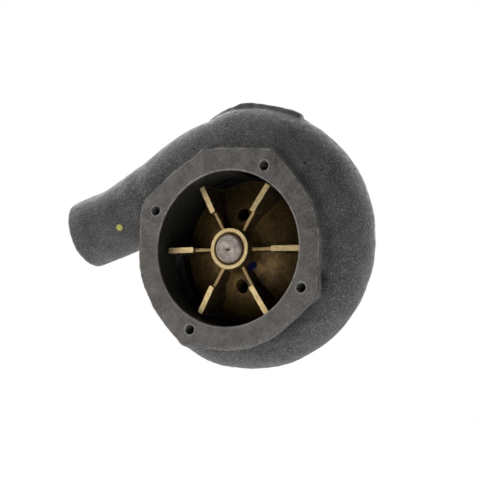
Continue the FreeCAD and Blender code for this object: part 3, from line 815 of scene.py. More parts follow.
@dataclass
class InletFlange:
    """Round flange with four rounded ears, joined to the round by tangent lines."""

    round_radius: float = 78.05
    nose_radius: float = 5.0
    nose_centre: float = 79.3
    first_hole: float = 62.9
    bolt_circle: float = 69.85
    tap_radius: float = 3.3
    tap_depth: float = 19.0
    thread_pitch: float = 1.41
    thickness: float = 8.0
    boss_radius: float = 8.5
    wander: float = 0.11
    nibble: float = 0.06
    lumps: tuple[Triple, ...] = ((102.5, 8.5, 1.1), (105.8, 2.2, 2.9), (-133.0, 8.0, 1.4))

    def outline(self, angle: Array) -> Array:
        """Radius at an angle: ear nose, tangent line or plain round, whichever stands there."""
        from_ear = (np.degrees(angle) - self.first_hole + 45.0) % 90.0 - 45.0
        from_ear = np.abs(np.radians(from_ear))
        lean = math.acos((self.round_radius - self.nose_radius) / self.nose_centre)
        line = self.round_radius / np.cos(np.minimum(from_ear - lean, 0.0))
        inside = self.nose_radius ** 2 - (self.nose_centre * np.sin(from_ear)) ** 2
        nose = self.nose_centre * np.cos(from_ear) + np.sqrt(np.maximum(inside, 0.0))
        contact = self.nose_radius * math.sin(lean) / (
            self.nose_centre + self.nose_radius * math.cos(lean))
        return np.where(from_ear < math.atan(contact), nose, line)

    def rough_patch(self) -> Patch:
        """The flange as cast: the outline, made uneven, carried back with a little draft.

        Each lump adds its height times a bell curve of the angle, with its spread in degrees.
        """
        angle = circle(720)
        edge = self.outline(angle)
        rim = shaft_points(edge, angle, np.zeros_like(angle))
        edge = edge + self.wander * ripple(rim, 26.0, seed=4) + self.nibble * ripple(rim, 5.0, seed=5)
        place, spread, height = np.array(self.lumps).T[:, :, None]
        away = (np.degrees(angle) - place + 180.0) % 360.0 - 180.0
        edge = edge + (height * np.exp(-(away / spread) ** 2)).sum(axis=0)
        rows = [(0.0, 0.0, -0.7), (1.0, -0.4, -0.7), (1.0, 0.1, 0.6), (1.0, 0.2, self.thickness - 1),
                (1.0, -0.6, self.thickness + 0.4), (0.0, 0.0, self.thickness + 0.4)]
        radius = np.stack([share * (edge + grow) for share, grow, _ in rows])
        depth = np.array([row[2] for row in rows])[:, None]
        return Patch(shaft_points(radius, angle[None, :], depth))

    def hole_centres(self) -> Array:
        """x and z of the four tapped holes."""
        angle = np.radians(self.first_hole + np.arange(4) * 90.0)
        return self.bolt_circle * np.stack([np.cos(angle), np.sin(angle)], axis=-1)

    def boss_patches(self) -> list[Patch]:
        """Round bosses behind the holes, with domed ends."""
        end = self.tap_depth + 5
        profile = [(0, 2), (self.boss_radius, 2), (self.boss_radius, end - 2),
                   (self.boss_radius - 2.5, end), (0, end)]
        return [drill(centre, profile, 32) for centre in self.hole_centres()]

    def tap_patches(self) -> list[Patch]:
        """Threaded cutters: the radius rises and falls once in each pitch along a helix."""
        depth = np.linspace(-2.0, self.tap_depth, 90)[:, None]
        angle = circle(28)[None, :]
        cycle = (depth / self.thread_pitch - angle / TURN) % 1.0
        thread = 0.55 * (1 - np.abs(2 * cycle - 1))
        lead_in = np.clip((0.8 - depth) * 1.0, 0.0, 0.8)
        radius = self.tap_radius + np.maximum(np.where(depth > 0.3, thread, 0.0), lead_in)
        radius[0] = 0.0
        radius[-1] = 0.0
        taps = shaft_points(radius, angle, depth)
        taps[-1, :, 1] += 1.6
        return [Patch(taps + np.array([x, 0.0, z])) for x, z in self.hole_centres()]


@dataclass
class Casting:
    """The pump's one iron casting, rough cast first and then machined."""

    scroll: Scroll
    duct: OutletDuct
    flange: InletFlange
    cast: CastIron
    faced: MachinedIron
    # near-black finish for the bore and passages: painted shade of the recesses
    interior_shade: CastIron
    inlet_radius: float = 60.325
    chamber_radius: float = 67.0
    back_wall: float = 56.5
    wall: float = 5.5
    mount_radius: float = 68.0
    mount_thick: float = 10.0
    mount_circle: float = 57.15
    mount_hole: float = 5.15
    pilot_radius: float = 44.45
    pilot_length: float = 10.0
    tube_radius: float = 33.0
    neck_radius: float = 37.0
    rib_angles: tuple[float, ...] = (0.0, 90.0, 180.0)
    rib_thick: float = 6.0
    pad_line: tuple[tuple[float, float], ...] = (
        (63.2, 108.0), (65.4, 116.0), (66.4, 116.7), (80, 116.6), (85, 117.8), (88.5, 118.9),
        (91.8, 118.8), (95, 116.7), (100, 115.1), (106, 112.5))
    pad_depths: tuple[float, float] = (32.3, 41.3)
    swell: float = 0.20
    swell_length: float = 34.0
    dimple: float = 0.075
    dimple_length: float = 9.0
    parting: float = 0.34
    parting_width: float = 0.85
    cell: float = 1.45
    relaxing: int = 7

    def core_patch(self) -> Patch:
        """Turned outline of the rough casting about the shaft."""
        mount, spare = MOUNT_DEPTH, 1.0
        return lathe([
            (0, -0.7), (self.chamber_radius, -0.7), (self.chamber_radius, 60), (60, 64.5),
            (42, 66), (self.neck_radius, 71), (self.neck_radius, 80), (self.neck_radius + 2, 82),
            (self.mount_radius, mount - self.mount_thick), (self.mount_radius, mount + spare),
            (self.pilot_radius + spare, mount + spare),
            (self.pilot_radius + spare, mount + self.pilot_length + spare),
            (self.tube_radius + spare, mount + self.pilot_length + spare),
            (self.tube_radius + spare, HOUSING_END + spare), (0, HOUSING_END + spare)])

    def rib_patches(self) -> list[Patch]:
        """Ribs between the back of the scroll and the mounting flange, as rounded plates."""
        corner = np.array([(30, 60), (57, 60), (61, 83), (30, 83)], float)
        sides = []
        for thick, inward in ((-0.5, 1.0), (-0.5, 0.0), (0.5, 0.0), (0.5, 1.0)):
            flat = corner + (corner.mean(axis=0) - corner) * inward
            sides.append(np.column_stack([flat[:, 0], flat[:, 1], np.full(4, thick * self.rib_thick)]))
        plate = np.stack(sides)
        patches = []
        for turn in np.radians(self.rib_angles):
            x = plate[..., 0] * math.cos(turn) - plate[..., 2] * math.sin(turn)
            z = plate[..., 0] * math.sin(turn) + plate[..., 2] * math.cos(turn)
            patches.append(Patch(np.stack([x, plate[..., 1], z], axis=-1)))
        return patches

    def pad_patch(self) -> Patch:
        """Raised fin on the crest: a flat-topped block bent round the shaft.

        Its top runs straight from each (angle, radius) corner of the pad line to the next.
        """
        corner_angle, corner_radius = np.array(self.pad_line).T
        angle = np.linspace(corner_angle[0], corner_angle[-1], 90)
        top = np.interp(angle, corner_angle, corner_radius)
        low, high = self.pad_depths
        root = np.full_like(top, 84.0)
        radius = np.stack([root, top - 1.0, top, top, top - 1.0, root], -1)
        depth = np.array([low - 1.0, low, low + 1.0, high - 1.0, high, high + 1.0])[None, :]
        points = shaft_points(radius, np.radians(angle)[:, None], depth)
        return Patch(capped(points))

    def bore_patch(self) -> Patch:
        """Everything turned from inside: inlet bore, seal bores and bearing bore."""
        bearing, clip = 26.0, 27.6
        end = HOUSING_END
        return lathe([
            (0, -8), (self.inlet_radius + 0.8, -8), (self.inlet_radius + 0.8, 0),
            (self.inlet_radius, 0.8), (self.inlet_radius, self.back_wall), (18.8, self.back_wall),
            (18.25, self.back_wall + 0.6), (18.25, 67.2), (16.8, 67.2), (16.8, 70.4), (20.0, 70.4),
            (20.0, 78.0), (bearing, 78.0), (bearing, 119.6), (clip, 119.6), (clip, 121.5),
            (bearing, 121.5), (bearing, end - 0.8), (bearing + 0.9, end + 0.1),
            (bearing + 0.9, end + 8), (0, end + 8)], 288)

    def rear_patch(self) -> Patch:
        """Everything turned outside at the back: mounting face, pilot, its groove and the tube."""
        mount, pilot = MOUNT_DEPTH, self.pilot_radius
        groove, low, high = pilot - 3.05, mount + 3.3, mount + 6.7
        shoulder, far = mount + self.pilot_length, HOUSING_END + 20
        return lathe([
            (pilot - 0.4, mount + 0.01), (pilot, mount - 0.4), (pilot + 0.5, mount), (110, mount),
            (110, far), (self.tube_radius - 1.0, far), (self.tube_radius - 1.0, HOUSING_END + 0.2),
            (self.tube_radius, HOUSING_END - 0.8), (self.tube_radius, shoulder + 0.6),
            (self.tube_radius + 0.6, shoulder), (pilot - 1.0, shoulder), (pilot, shoulder - 1.0),
            (pilot, high), (groove, high), (groove, low), (pilot, low)], 288, ring=True)

    def hole_patches(self) -> list[Patch]:
        """Mounting holes with countersunk mouths, and the weep hole underneath."""
        angle = np.radians(45.0 + np.arange(4) * 90.0)
        centres = self.mount_circle * np.stack([np.cos(angle), np.sin(angle)], axis=-1)
        hole, mount = self.mount_hole, MOUNT_DEPTH
        profile = [(0, mount - 14), (hole, mount - 14), (hole, mount - 0.6), (hole + 0.8, mount + 0.2),
                   (hole + 0.8, mount + 6), (0, mount + 6)]
        weep_line = np.array([0.0, 14.0, 80.0])
        weep_radius = np.array([0.0, 3.0, 3.0, 0.0])
        height = -np.array([weep_line[1], weep_line[1], weep_line[2], weep_line[2]])[:, None]
        round_it = circle(32)[None, :]
        weep = np.stack(np.broadcast_arrays(
            weep_radius[:, None] * np.cos(round_it),
            68.7 + weep_radius[:, None] * np.sin(round_it), height), axis=-1)
        return [drill(centre, profile) for centre in centres] + [Patch(weep)]

    def roughen(self, piece: bpy.types.Object) -> None:
        """Uneven mould faces, and a faint parting line round the middle of the scroll."""
        points = shaft_coordinates(piece)
        height = self.swell * ripple(points, self.swell_length, seed=11)
        height += self.dimple * ripple(points, self.dimple_length, seed=12)
        sideways = 1 - np.abs(vertex_array(piece.data, "normal")[:, 1])
        away = np.abs(points[:, 1] - self.scroll.centre_depth - 0.4)
        height += self.parting * np.exp(-(away / self.parting_width) ** 2) * np.clip(sideways, 0, 1)
        move_along_normals(piece, height)

    def face_choice(self, piece: bpy.types.Object) -> Array:
        """1 for machined faces, 2 for bore and passage faces under near-black painted shade, 0 for the
        rest.

        A face is in the water passage where it lies inside the scroll drawn in by its wall.
        """
        centre, normal = face_arrays(piece)
        radius, depth = np.hypot(centre[:, 0], centre[:, 2]), centre[:, 1]
        flat = np.abs(normal[:, 1]) > FLAT
        inlet = flat & (np.abs(depth) < TOUCHING)
        bore = (radius < self.inlet_radius + 1.0) & (depth > 0.02) & (depth < self.back_wall + TOUCHING)
        angle = np.degrees(np.arctan2(centre[:, 2], centre[:, 0]))
        middle, width = self.scroll.size(angle)
        across = np.hypot(np.maximum(radius - middle, 0.0), depth - self.scroll.centre_depth)
        passage = (across < width - self.wall + 0.3) & (radius > 50.0)
        # bore walls and passage faces get the near-black painted shade of these recesses
        shaded_inside = passage & (angle < 92.0) | bore & (depth > 1.0)
        inner = (radius < 28.0) & (depth > self.back_wall)
        mount = flat & (np.abs(depth - MOUNT_DEPTH) < TOUCHING)
        rear = depth > MOUNT_DEPTH + 0.01
        return np.where(shaded_inside, 2, (inlet | bore | inner | mount | rear).astype(int))

    def build(self) -> bpy.types.Object:
        """Makes, machines and dresses the casting."""
        rough = [self.scroll.patch(0.0), self.core_patch(), self.pad_patch(),
                 self.duct.patch(self.scroll, self.scroll.end_width, self.duct.neck_radius),
                 self.flange.rough_patch(), *self.flange.boss_patches(), *self.rib_patches()]
        piece = make_mesh("pump_casting", rough)
        cast_skin(piece, self.cell, self.relaxing)
        self.roughen(piece)
        thin_out(piece, int(TRIANGLE_LIMIT * 0.72))
        passage = self.scroll.patch(self.wall, self.scroll.outlet_angle)
        duct_bore = self.duct.patch(self.scroll, self.scroll.end_width - self.wall,
                                    self.duct.bore_radius, overrun=6.0)
        face = lathe([(0, -12), (130, -12), (130, 0), (0, 0)], 96)
        machine(piece, [face, passage, duct_bore, self.bore_patch(), self.rear_patch(),
                        *self.flange.tap_patches(), *self.hole_patches()])
        # third slot: near-black painted shade for the bore and passages
        set_slots(piece, [self.cast.build("sand_cast_iron"), self.faced.build("faced_iron"),
                          self.interior_shade.build("blackened_iron")], self.face_choice(piece))
        shade(piece)
        return piece


# ---------------------------------------------------------------- rotating parts

@dataclass
class Impeller:
    """Open impeller: trumpet plate and six straight blades, cast together and then machined."""

    cast: CastBronze
    land_metal: BrightMetal
    radius: float = 57.15
    hub_radius: float = 16.1
    hub_face: float = 4.8
    bore: float = 11.1
    back: float = 54.0
    blades: int = 6
    first_blade: float = -0.9
    land_start: float = 33.4
    land_thick: float = 4.3
    land_depths: tuple[float, float] = (9.1, 12.6)
    web_thick: float = 2.9
    web_depth: float = 12.6
    puller_circle: float = 28.8
    puller_radius: float = 4.8
    puller_angles: tuple[float, float] = (89.0, 269.0)
    cell: float = 0.6

    def plate_patch(self) -> Patch:
        """Hub and back plate: a ring whose front follows a smooth trumpet curve."""
        flare = smooth_line(np.array([(16.6, 19.0), (18.6, 24.3), (23, 27.2), (29, 29.3), (36, 33),
                                      (43, 38), (50, 43.6), (57.6, 50.0)]), 4)
        hub = [(10.0, self.hub_face - 0.8), (self.hub_radius - 0.8, self.hub_face - 0.8),
               (self.hub_radius, self.hub_face + 0.4), (self.hub_radius, 17.0)]
        back = [(58.2, 50.6), (58.2, 54.8), (53, 54.4), (46, 49.5), (38, 43), (30, 38), (24, 36.5),
                (22.7, 38.2), (22.7, 54.8), (10.0, 54.8)]
        return lathe(hub + [tuple(point) for point in flare] + back, 240, ring=True)

    def blade_patch(self, turn: float, radii: tuple[float, float], front: tuple[float, float],
                    thick: float, seed: int) -> Patch:
        """Upright plate from an inner to an outer radius, standing in the back plate.

        Args:
            turn: its angle round the shaft, in radians.
            radii: where it starts and ends.
            front: depth of its front edge at those two radii.
            thick: its thickness.
            seed: picks its unevenness.

        Returns:
            The closed surface: rounded sections carried outwards.
        """
        along = np.linspace(0, 1, 40)[:, None]
        radius = radii[0] + (radii[1] - radii[0]) * along
        edge = front[0] + (front[1] - front[0]) * along
        foot = np.interp(radius, [14, 29, 36, 43, 50, 58], [25, 31.5, 35.5, 40.5, 46.5, 52.5])
        half = thick / 2
        across = np.array([-1, -1, -0.75, 0.75, 1, 1]) * half
        drop = np.array([1.0, 0.0, 0.0, 0.0, 0.0, 1.0])
        lower = np.array([0.0, 0.5, 0.0, 0.0, 0.5, 0.0])
        depth = edge + (foot - edge) * drop[None, :] + lower[None, :]
        side = across[None, :] * np.ones_like(radius)
        line = np.stack(np.broadcast_arrays(radius, depth, side), axis=-1)
        side = side + np.sign(across)[None, :] * 0.07 * ripple(line, 5.0, seed)
        x = radius * math.cos(turn) - side * math.sin(turn)
        z = radius * math.sin(turn) + side * math.cos(turn)
        points = np.stack(np.broadcast_arrays(x, depth, z), axis=-1)
        return Patch(capped(points))

    def blade_patches(self) -> list[Patch]:
        """Thick outer lands, a little proud for machining, and thin webs in to the hub."""
        patches = []
        low, high = self.land_depths
        for index in range(self.blades):
            turn = math.radians(self.first_blade + index * 360.0 / self.blades)
            patches.append(self.blade_patch(turn, (self.land_start, 58.0), (low - 0.9, high - 0.9),
                                            self.land_thick, seed=40 + index))
            patches.append(self.blade_patch(turn, (14.5, self.land_start + 2), (self.web_depth,) * 2,
                                            self.web_thick, seed=60 + index))
        return patches

    def cutters(self) -> list[Patch]:
        """Lathe and drill work: lands on a shallow cone, rim, hub face, bore, back, puller holes."""
        low, high = self.land_depths
        slope = (high - low) / (self.radius - self.land_start)
        inner, outer = self.land_start - 1.5, self.radius + 4
        cone = lathe([(inner, 0), (outer, 0), (outer, high + slope * 4), (inner, low - slope * 1.5)],
                     240, ring=True)
        rim = lathe([(self.radius, 1), (80, 1), (80, 70), (self.radius - 0.5, 70),
                     (self.radius - 0.5, self.back), (self.radius, self.back - 0.5)], 240, ring=True)
        middle = lathe([(0, -3), (24, -3), (24, self.hub_face), (self.bore + 2.0, self.hub_face),
                        (self.bore, self.hub_face + 2.4), (self.bore, 48), (18, 48),
                        (18, self.back - 0.4), (18.4, self.back), (70, self.back), (70, 66), (0, 66)],
                       192)
        holes = [drill(self.puller_circle * np.array([math.cos(a), math.sin(a)]),
                       [(0, 22), (6.4, 22), (6.4, 27.4), (self.puller_radius, 30.4),
                        (self.puller_radius, 46), (0, 46)])
                 for a in np.radians(self.puller_angles)]
        return [cone, rim, middle, *holes]

    def face_choice(self, piece: bpy.types.Object) -> Array:
        """1 for machined faces and 0 for faces left as cast."""
        centre, normal = face_arrays(piece)
        radius, depth = np.hypot(centre[:, 0], centre[:, 2]), centre[:, 1]
        low, high = self.land_depths
        slope = (high - low) / (self.radius - self.land_start)
        land = (np.abs(depth - low - slope * (radius - self.land_start)) < 0.12) & (normal[:, 1] < -0.9)
        hub = (depth < self.hub_face + 1.0) & (normal[:, 1] < -0.4) & (radius > self.bore + 1.9)
        bore = (radius < self.bore + 0.1) | ((depth > 47.9) & (radius < 18.5))
        rim = (radius > self.radius - 0.55) & (depth > 15)
        back = depth > self.back - TOUCHING
        return (land | hub | bore | rim | back).astype(int)

    def build(self) -> bpy.types.Object:
        """Makes, machines and dresses the impeller."""
        piece = make_mesh("impeller_casting", [self.plate_patch(), *self.blade_patches()])
        cast_skin(piece, self.cell, 3)
        move_along_normals(piece, 0.05 * ripple(shaft_coordinates(piece), 6.0, seed=21))
        thin_out(piece, int(TRIANGLE_LIMIT * 0.8))
        machine(piece, self.cutters())
        set_slots(piece, [self.cast.build("cast_bronze"), self.land_metal.build("machined_bronze")],
                  self.face_choice(piece))
        shade(piece)
        return piece


@dataclass
class Shaft:
    """Stepped steel shaft: turned nose in the impeller, threaded end at the gear."""

    nose_metal: BrightMetal
    nose: float = 2.6
    end: float = 153.0
    seat: float = 11.1
    thread_start: float = 141.0
    thread_radius: float = 10.0
    thread_pitch: float = 1.5
    thread_height: float = 0.85

    def patch(self) -> Patch:
        """Turned profile, with rings faced into the nose and a helical thread cut at the end.

        On the thread the radius drops and rises once per pitch, and one pitch per turn.
        """
        facing = np.linspace(2.9, self.seat - 1.2, 34)
        ring_depth = self.nose + 0.10 * np.sin(facing * TURN / 1.55) + 0.06 * np.sin(facing * 1.1)
        nose = [(0.0, self.nose + 2.6), (0.9, self.nose + 2.2), (2.4, self.nose + 0.1)]
        nose += list(zip(facing, ring_depth))
        nose += [(self.seat - 1.1, self.nose + 0.1), (self.seat - 0.1, self.nose + 1.3),
                 (self.seat, self.nose + 1.6)]
        steps = [(self.seat, 53.5), (12.5, 54.4), (12.5, 70.0), (14.0, 70.4), (14.0, 77.7),
                 (13.7, 78.0), (12.5, 78.0), (12.5, 119.3), (12.2, 119.6), (11.0, 119.6),
                 (11.0, 140.6), (10.6, 141.0), (self.thread_radius, self.thread_start)]
        thread = [(self.thread_radius, depth) for depth in
                  np.arange(self.thread_start + 0.15, self.end - 1.0, 0.15)]
        tail = [(self.thread_radius, self.end - 1.0), (self.thread_radius - 1.0, self.end),
                (2.4, self.end), (0.9, self.end - 2.2), (0.0, self.end - 2.6)]
        patch = lathe(nose + steps + thread + tail, 144)
        points = patch.points
        radius = np.hypot(points[..., 0], points[..., 2])
        depth = points[..., 1]
        cycle = (depth / self.thread_pitch - circle(144)[None, :] / TURN) % 1.0
        drop = self.thread_height * np.abs(2 * cycle - 1)
        fade = np.clip((depth - self.thread_start) / 0.4, 0, 1) * (radius > self.thread_radius - 0.5)
        fade = fade * (depth < self.end - 0.9)
        scale = 1 - drop * fade / np.maximum(radius, 1.0)
        points[..., 0] *= scale
        points[..., 2] *= scale
        return patch

    def build(self) -> bpy.types.Object:
        """Makes and dresses the shaft."""
        piece = make_mesh("shaft", [self.patch()])
        set_slots(piece, [self.nose_metal.build("turned_steel")])
        shade(piece, 40.0)
        return piece


@dataclass
class GearDrive:
    """Spur gear, its hexagon nut and the washer between them."""

    gear_metal: BrightMetal
    nut_metal: BrightMetal
    teeth: int = 36
    module: float = 25.4 / 12
    pressure_angle: float = 20.0
    front: float = 124.0
    back: float = 141.0
    hub_front: float = 119.6
    bore: float = 11.0
    hub_radius: float = 15.7
    web: tuple[float, float, float] = (19.7, 31.0, 5.0)
    across_flats: float = 30.0
    nut_start: float = 142.5
    nut_thick: float = 9.0
    nut_bore: float = 9.1
    washer_bore: float = 10.05
    washer_radius: float = 17.0

    def outline(self) -> tuple[Array, Array]:
        """Radius and angle round the teeth, each flank an involute of the base circle."""
        pitch = self.teeth * self.module / 2
        base = pitch * math.cos(math.radians(self.pressure_angle))
        tip, root = pitch + self.module, pitch - 1.25 * self.module
        roll = math.sqrt((pitch / base) ** 2 - 1)
        half_tooth = math.pi / (2 * self.teeth) + roll - math.atan(roll)
        flank = np.linspace(base, tip, 8)
        spread = np.sqrt(np.maximum((flank / base) ** 2 - 1, 0))
        half = half_tooth - (spread - np.arctan(spread))
        flank = np.concatenate([[root, root + 0.2], flank])
        half = np.concatenate([[half[0] + 0.016, half[0] + 0.004], half])
        middle = (np.arange(self.teeth) * TURN / self.teeth)[:, None]
        radius = np.tile(np.concatenate([flank, flank[::-1]]), self.teeth)
        angle = np.concatenate([middle - half[None, :], middle + half[None, ::-1]], axis=1)
        return radius, angle.ravel()

    def gear_patch(self) -> Patch:
        """Ring whose rows are circles on the hub and web, and the tooth outline at the rim."""
        outline, angle = self.outline()
        tip = outline.max()
        inner, outer, recess = self.web
        front, back = self.front, self.back
        hub = [(self.bore, self.hub_front + 0.5), (self.bore + 0.5, self.hub_front),
               (self.hub_radius - 0.5, self.hub_front), (self.hub_radius, self.hub_front + 0.5),
               (self.hub_radius, front)]
        face = [(inner - 0.6, 0.0), (inner, 0.6), (inner + 0.4, recess - 1.2), (inner + 1.6, recess),
                (outer - 1.6, recess), (outer - 0.4, recess - 1.2), (outer, 0.6), (outer + 0.6, 0.0),
                (tip - 1.0, 0.0), (tip, 1.0)]
        rows = hub + both_faces(face, front, back) + [(self.bore + 0.5, back), (self.bore, back - 0.5)]
        limit, depth = np.array(rows).T[:, :, None]
        radius = np.minimum(limit, outline[None, :])
        return Patch(shaft_points(radius, angle[None, :], depth), wrap_rows=True)

    def nut_patch(self) -> Patch:
        """Hexagon clipped by a cone at both ends, with a threaded bore."""
        angle = circle(180)
        flat = self.across_flats / 2
        hexagon = flat / np.cos((angle + math.pi / 6) % (math.pi / 3) - math.pi / 6)
        start, end = self.nut_start, self.nut_start + self.nut_thick
        rise = np.linspace(0, 1.6, 9)
        face = [(self.nut_bore + 1.1, 0.0), (flat - 0.4, 0.0)]
        face += [(flat - 0.2 + 1.9 * step, step) for step in rise]
        limit, depth = np.array(both_faces(face, start, end)).T[:, :, None]
        outside = np.minimum(limit, hexagon[None, :])
        inside_depth = np.linspace(end - 0.3, start + 0.3, 60)[:, None]
        cycle = (inside_depth / 1.5 - angle[None, :] / TURN) % 1.0
        inside = self.nut_bore + 0.85 * (1 - np.abs(2 * cycle - 1)) * np.ones_like(inside_depth)
        radius = np.concatenate([outside, np.maximum(inside, self.nut_bore)])
        return Patch(shaft_points(radius, angle[None, :], np.concatenate([depth, inside_depth])),
                     wrap_rows=True)

    def washer_patch(self) -> Patch:
        """Tab washer whose rim is bent into shallow waves between six flats."""
        face = [(self.washer_bore, 0.0), (self.washer_radius - 0.3, 0.0), (self.washer_radius, 0.3)]
        rows = both_faces(face, self.back, self.nut_start)
        angle = circle(240)
        radius, depth = np.array(rows).T[:, :, None]
        scallop = 0.55 * np.maximum(np.cos(angle * 12), 0.0) ** 2
        radius = np.where(radius > 12, radius - scallop[None, :], radius)
        return Patch(shaft_points(radius, angle[None, :], depth), wrap_rows=True)

    def build(self) -> list[bpy.types.Object]:
        """Makes and dresses the gear, the nut and the washer."""
        gear = make_mesh("drive_gear_hobbed", [self.gear_patch()])
        nut = make_mesh("gear_nut_hexagon", [self.nut_patch()])
        washer = make_mesh("gear_tab_washer", [self.washer_patch()])
        steel = self.gear_metal.build("hobbed_steel")
        blacked = self.nut_metal.build("blacked_steel")
        for piece, metal in ((gear, steel), (nut, blacked), (washer, blacked)):
            set_slots(piece, [metal])
            shade(piece, 28.0)
        return [gear, nut, washer]


# ---------------------------------------------------------------- carried-over pieces

@dataclass(frozen=True)
class CarriedOver:
    """Frame pieces whose shape is already right, and the finish that each one gets."""

    finishes: tuple[tuple[Stock, tuple[str, ...]], ...] = (
        (Stock.POLISHED_STEEL, ("front_bearing_inner_race", "front_bearing_outer_race",
                                "front_bearing_balls", "rear_bearing_inner_race",
                                "rear_bearing_outer_race", "rear_bearing_balls")),
        (Stock.PRESSED_STEEL, ("oil_seal_case", "inner_spacer", "outer_spacer", "gear_key")),
        (Stock.SPRING_STEEL, ("water_seal_spring", "oil_seal_garter_spring", "bearing_circlip")),
        (Stock.SHEET_BRASS, ("water_seal_shell", "front_bearing_cage", "rear_bearing_cage")),
        (Stock.RUBBER, ("seal_seat_cup", "water_seal_bellows", "water_slinger", "oil_seal_lip",
                        "pilot_o_ring")),
        (Stock.CARBON, ("carbon_seal_ring",)),
        (Stock.CERAMIC, ("ceramic_seat",)),
    )

    def dress(self) -> None:
        """Puts the finishes on the frame pieces' material slots."""
        for stock, names in self.finishes:
            material = stock.value.build(stock.name.lower())
            for name in names:
                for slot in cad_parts[name].material_slots:
                    slot.material = material
                log.info("%s dressed in %s", name, material.name)


# ---------------------------------------------------------------- studio

@dataclass(frozen=True)
class Lobe:
    """A soft bright patch of the surround.

    Attributes:
        azimuth: direction of its middle, in degrees from straight in front of the inlet.
        elevation: height of its middle, in degrees.
        strength: brightness there; it eases to nothing about 75 degrees away.
    """

    azimuth: float
    elevation: float
    strength: float


@dataclass
class Studio:
    """Pale floor, soft lights and the camera."""

    azimuth: float = 26.197
    elevation: float = -4.651
    distance: float = 1.150
    lens: float = 112.2
    shift: tuple[float, float] = (0.0284, 0.0170)
    floor_drop: float = 0.21
    floor_size: float = 9.0
    floor_tone: float = 0.93
    surround: float = 0.02
    lobes: tuple[Lobe, ...] = (
        Lobe(-94.0, 12.0, 2.33), Lobe(146.0, 12.0, 1.50), Lobe(206.0, 12.0, 2.55),
        Lobe(206.0, 55.0, 0.64))

    def direction(self, azimuth: float, elevation: float) -> Vector:
        """Unit vector from the pump towards an azimuth and elevation in degrees."""
        a, e = math.radians(azimuth), math.radians(elevation)
        return Vector((math.sin(a) * math.cos(e), -math.cos(a) * math.cos(e), math.sin(e)))

    def add_camera(self) -> None:
        """Camera aimed at the middle of the inlet face."""
        target = Vector((0.0, INLET_Y, 0.0))
        data = bpy.data.cameras.new("camera")
        data.lens = self.lens
        data.shift_x, data.shift_y = self.shift
        data.clip_start, data.clip_end = 0.05, 50.0
        camera = bpy.data.objects.new("camera", data)
        away = self.direction(self.azimuth, self.elevation)
        camera.location = target + away * self.distance
        camera.rotation_euler = away.to_track_quat("Z", "Y").to_euler()
        bpy.context.scene.collection.objects.link(camera)
        bpy.context.scene.camera = camera

    def add_light(self, name: str, azimuth: float, elevation: float, distance: float,
                  size: float, power: float) -> None:
        """Square soft light that faces the pump from a direction."""
        data = bpy.data.lights.new(name, "AREA")
        data.size = size
        data.energy = power
        lamp = bpy.data.objects.new(name, data)
        away = self.direction(azimuth, elevation)
        lamp.location = Vector((0.0, INLET_Y / 2, 0.0)) + away * distance
        lamp.rotation_euler = away.to_track_quat("Z", "Y").to_euler()
        lamp.visible_camera = False
        bpy.context.scene.collection.objects.link(lamp)

    def add_world(self) -> None:
        """Surround that lights the pump with soft lobes and looks plain white to the camera."""
        world = bpy.data.worlds.new("surround")
        bpy.context.scene.world = world
        world.use_nodes = True
        tree = world.node_tree
        background = tree.nodes["Background"]
        background.inputs["Color"].default_value = (1.0, 1.0, 1.0, 1.0)
        direction = tree.nodes.new("ShaderNodeTexCoord").outputs["Generated"]
        total = None
        for lobe in self.lobes:
            facing = tree.nodes.new("ShaderNodeVectorMath")
            facing.operation = "DOT_PRODUCT"
            tree.links.new(direction, facing.inputs[0])
            facing.inputs[1].default_value = self.direction(lobe.azimuth, lobe.elevation)
            rise = tree.nodes.new("ShaderNodeMapRange")
            rise.interpolation_type = "SMOOTHSTEP"
            tree.links.new(facing.outputs["Value"], rise.inputs["Value"])
            rise.inputs["From Min"].default_value = 0.25
            rise.inputs["From Max"].default_value = 1.0
            rise.inputs["To Max"].default_value = lobe.strength
            summed = tree.nodes.new("ShaderNodeMath")
            summed.inputs[0].default_value = self.surround
            if total is not None:
                tree.links.new(total, summed.inputs[0])
            tree.links.new(rise.outputs["Result"], summed.inputs[1])
            total = summed.outputs[0]
        seen = tree.nodes.new("ShaderNodeMix")
        tree.links.new(tree.nodes.new("ShaderNodeLightPath").outputs["Is Camera Ray"],
                       seen.inputs["Factor"])
        tree.links.new(total, seen.inputs["A"])
        seen.inputs["B"].default_value = 1.0
        tree.links.new(seen.outputs["Result"], background.inputs["Strength"])

    def add_floor(self) -> bpy.types.Object:
        """Broad pale floor under the pump."""
        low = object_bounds()[0][2] - self.floor_drop
        half = self.floor_size / 2
        mesh = bpy.data.meshes.new("floor")
        corners = [(-half, -half, low), (half, -half, low), (half, half, low), (-half, half, low)]
        mesh.from_pydata(corners, [], [(0, 1, 2, 3)])
        floor = bpy.data.objects.new("floor", mesh)
        bpy.context.scene.collection.objects.link(floor)
        material = bpy.data.materials.new("pale_floor")
        material.use_nodes = True
        shader = material.node_tree.nodes["Principled BSDF"]
        shader.inputs["Base Color"].default_value = (self.floor_tone,) * 3 + (1.0,)
        shader.inputs["Roughness"].default_value = 0.9
        mesh.materials.append(material)
        floor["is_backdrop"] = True
        return floor

    def build(self) -> None:
        """Sets the whole studio."""
        self.add_floor()
        self.add_world()
        self.add_light("key", -32.0, 38.0, 1.3, 0.8, 0.4)
        bpy.context.scene.view_settings.view_transform = "Standard"
        self.add_camera()


# ---------------------------------------------------------------- assembly

class Body(Enum):
    """The rigid bodies that new pieces ride on."""

    HOUSING = "housing"
    ROTOR = "rotor"


def fit(piece: bpy.types.Object, body: Body, slot: str, *nodes: str) -> None:
    """Hangs a finished piece on its body in place of its frame nodes."""
    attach(piece, body.value)
    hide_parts(*nodes)
    piece.data.calc_loop_triangles()
    log.info("%s: %d triangles, rides on %s", piece.name, len(piece.data.loop_triangles), body.value)


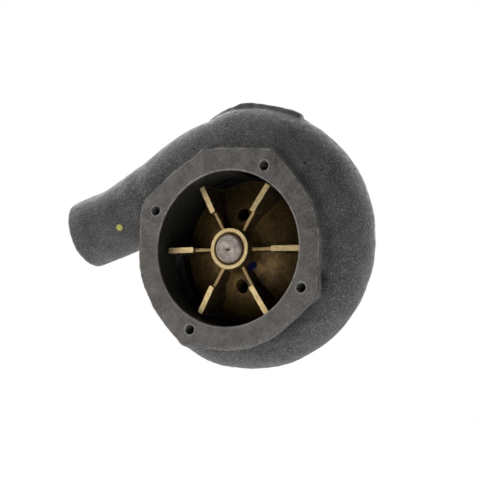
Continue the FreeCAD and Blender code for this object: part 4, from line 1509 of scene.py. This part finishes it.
def main() -> None:
    """Builds every sub-assembly in order and reports each piece."""
    logging.basicConfig(level=logging.INFO, format="%(name)s: %(message)s")
    neck_mark = PaintMark((-0.1015, -0.0811, 0.0211), 5.2, (0.40, 0.40, 0.085))
    plate_mark = PaintMark((0.0128, -0.0712, -0.0136), 8.6, (0.008, 0.010, 0.085))
    # near-black iron for the bore and passages: painted shade of the recesses
    dark_interior_iron = CastIron((0.005, 0.005, 0.004), (0.022, 0.021, 0.017), (0.06, 0.055, 0.045),
                         relief=0.2)
    pit = PaintMark((0.0617, -0.0822, 0.0634), 2.6, (0.004, 0.004, 0.004))
    sandy = CastIron(pit=pit, mark=neck_mark)
    casting = Casting(Scroll(), OutletDuct(), InletFlange(), sandy, MachinedIron(), dark_interior_iron)
    fit(casting.build(), Body.HOUSING, "cast_iron", "volute", "inlet_flange", "outlet_duct",
        "bearing_housing", "mounting_flange")
    golden = BrightMetal((0.50, 0.37, 0.17), (0.78, 0.62, 0.33), rough=0.40, metallic=0.85,
                         ring_pitch=0.5, stain=(0.07, 0.075, 0.035), stain_share=0.65)
    impeller = Impeller(CastBronze(mark=plate_mark), golden)
    fit(impeller.build(), Body.ROTOR, "bronze", "impeller", "impeller_blades")
    turned = BrightMetal((0.17, 0.14, 0.12), (0.46, 0.40, 0.36), rough=0.38, metallic=0.8,
                         ring_pitch=1.9, ring_height=0.05, stain=(0.10, 0.06, 0.035),
                         stain_share=0.5)
    fit(Shaft(turned).build(), Body.ROTOR, "shaft_steel", "pump_shaft")
    hobbed = BrightMetal((0.22, 0.22, 0.23), (0.40, 0.40, 0.41), rough=0.30, ring_pitch=0.6,
                         stain_share=0.30)
    blacked = BrightMetal((0.06, 0.06, 0.065), (0.15, 0.15, 0.155), rough=0.36, ring_pitch=0.9,
                          stain_share=0.30)
    gear, nut, washer = GearDrive(hobbed, blacked).build()
    fit(gear, Body.ROTOR, "gear_steel", "drive_gear")
    fit(nut, Body.ROTOR, "gear_steel", "gear_nut")
    fit(washer, Body.ROTOR, "sheet_steel", "gear_lock_washer")
    CarriedOver().dress()
    Studio().build()


if __name__ == "__main__":
    main()
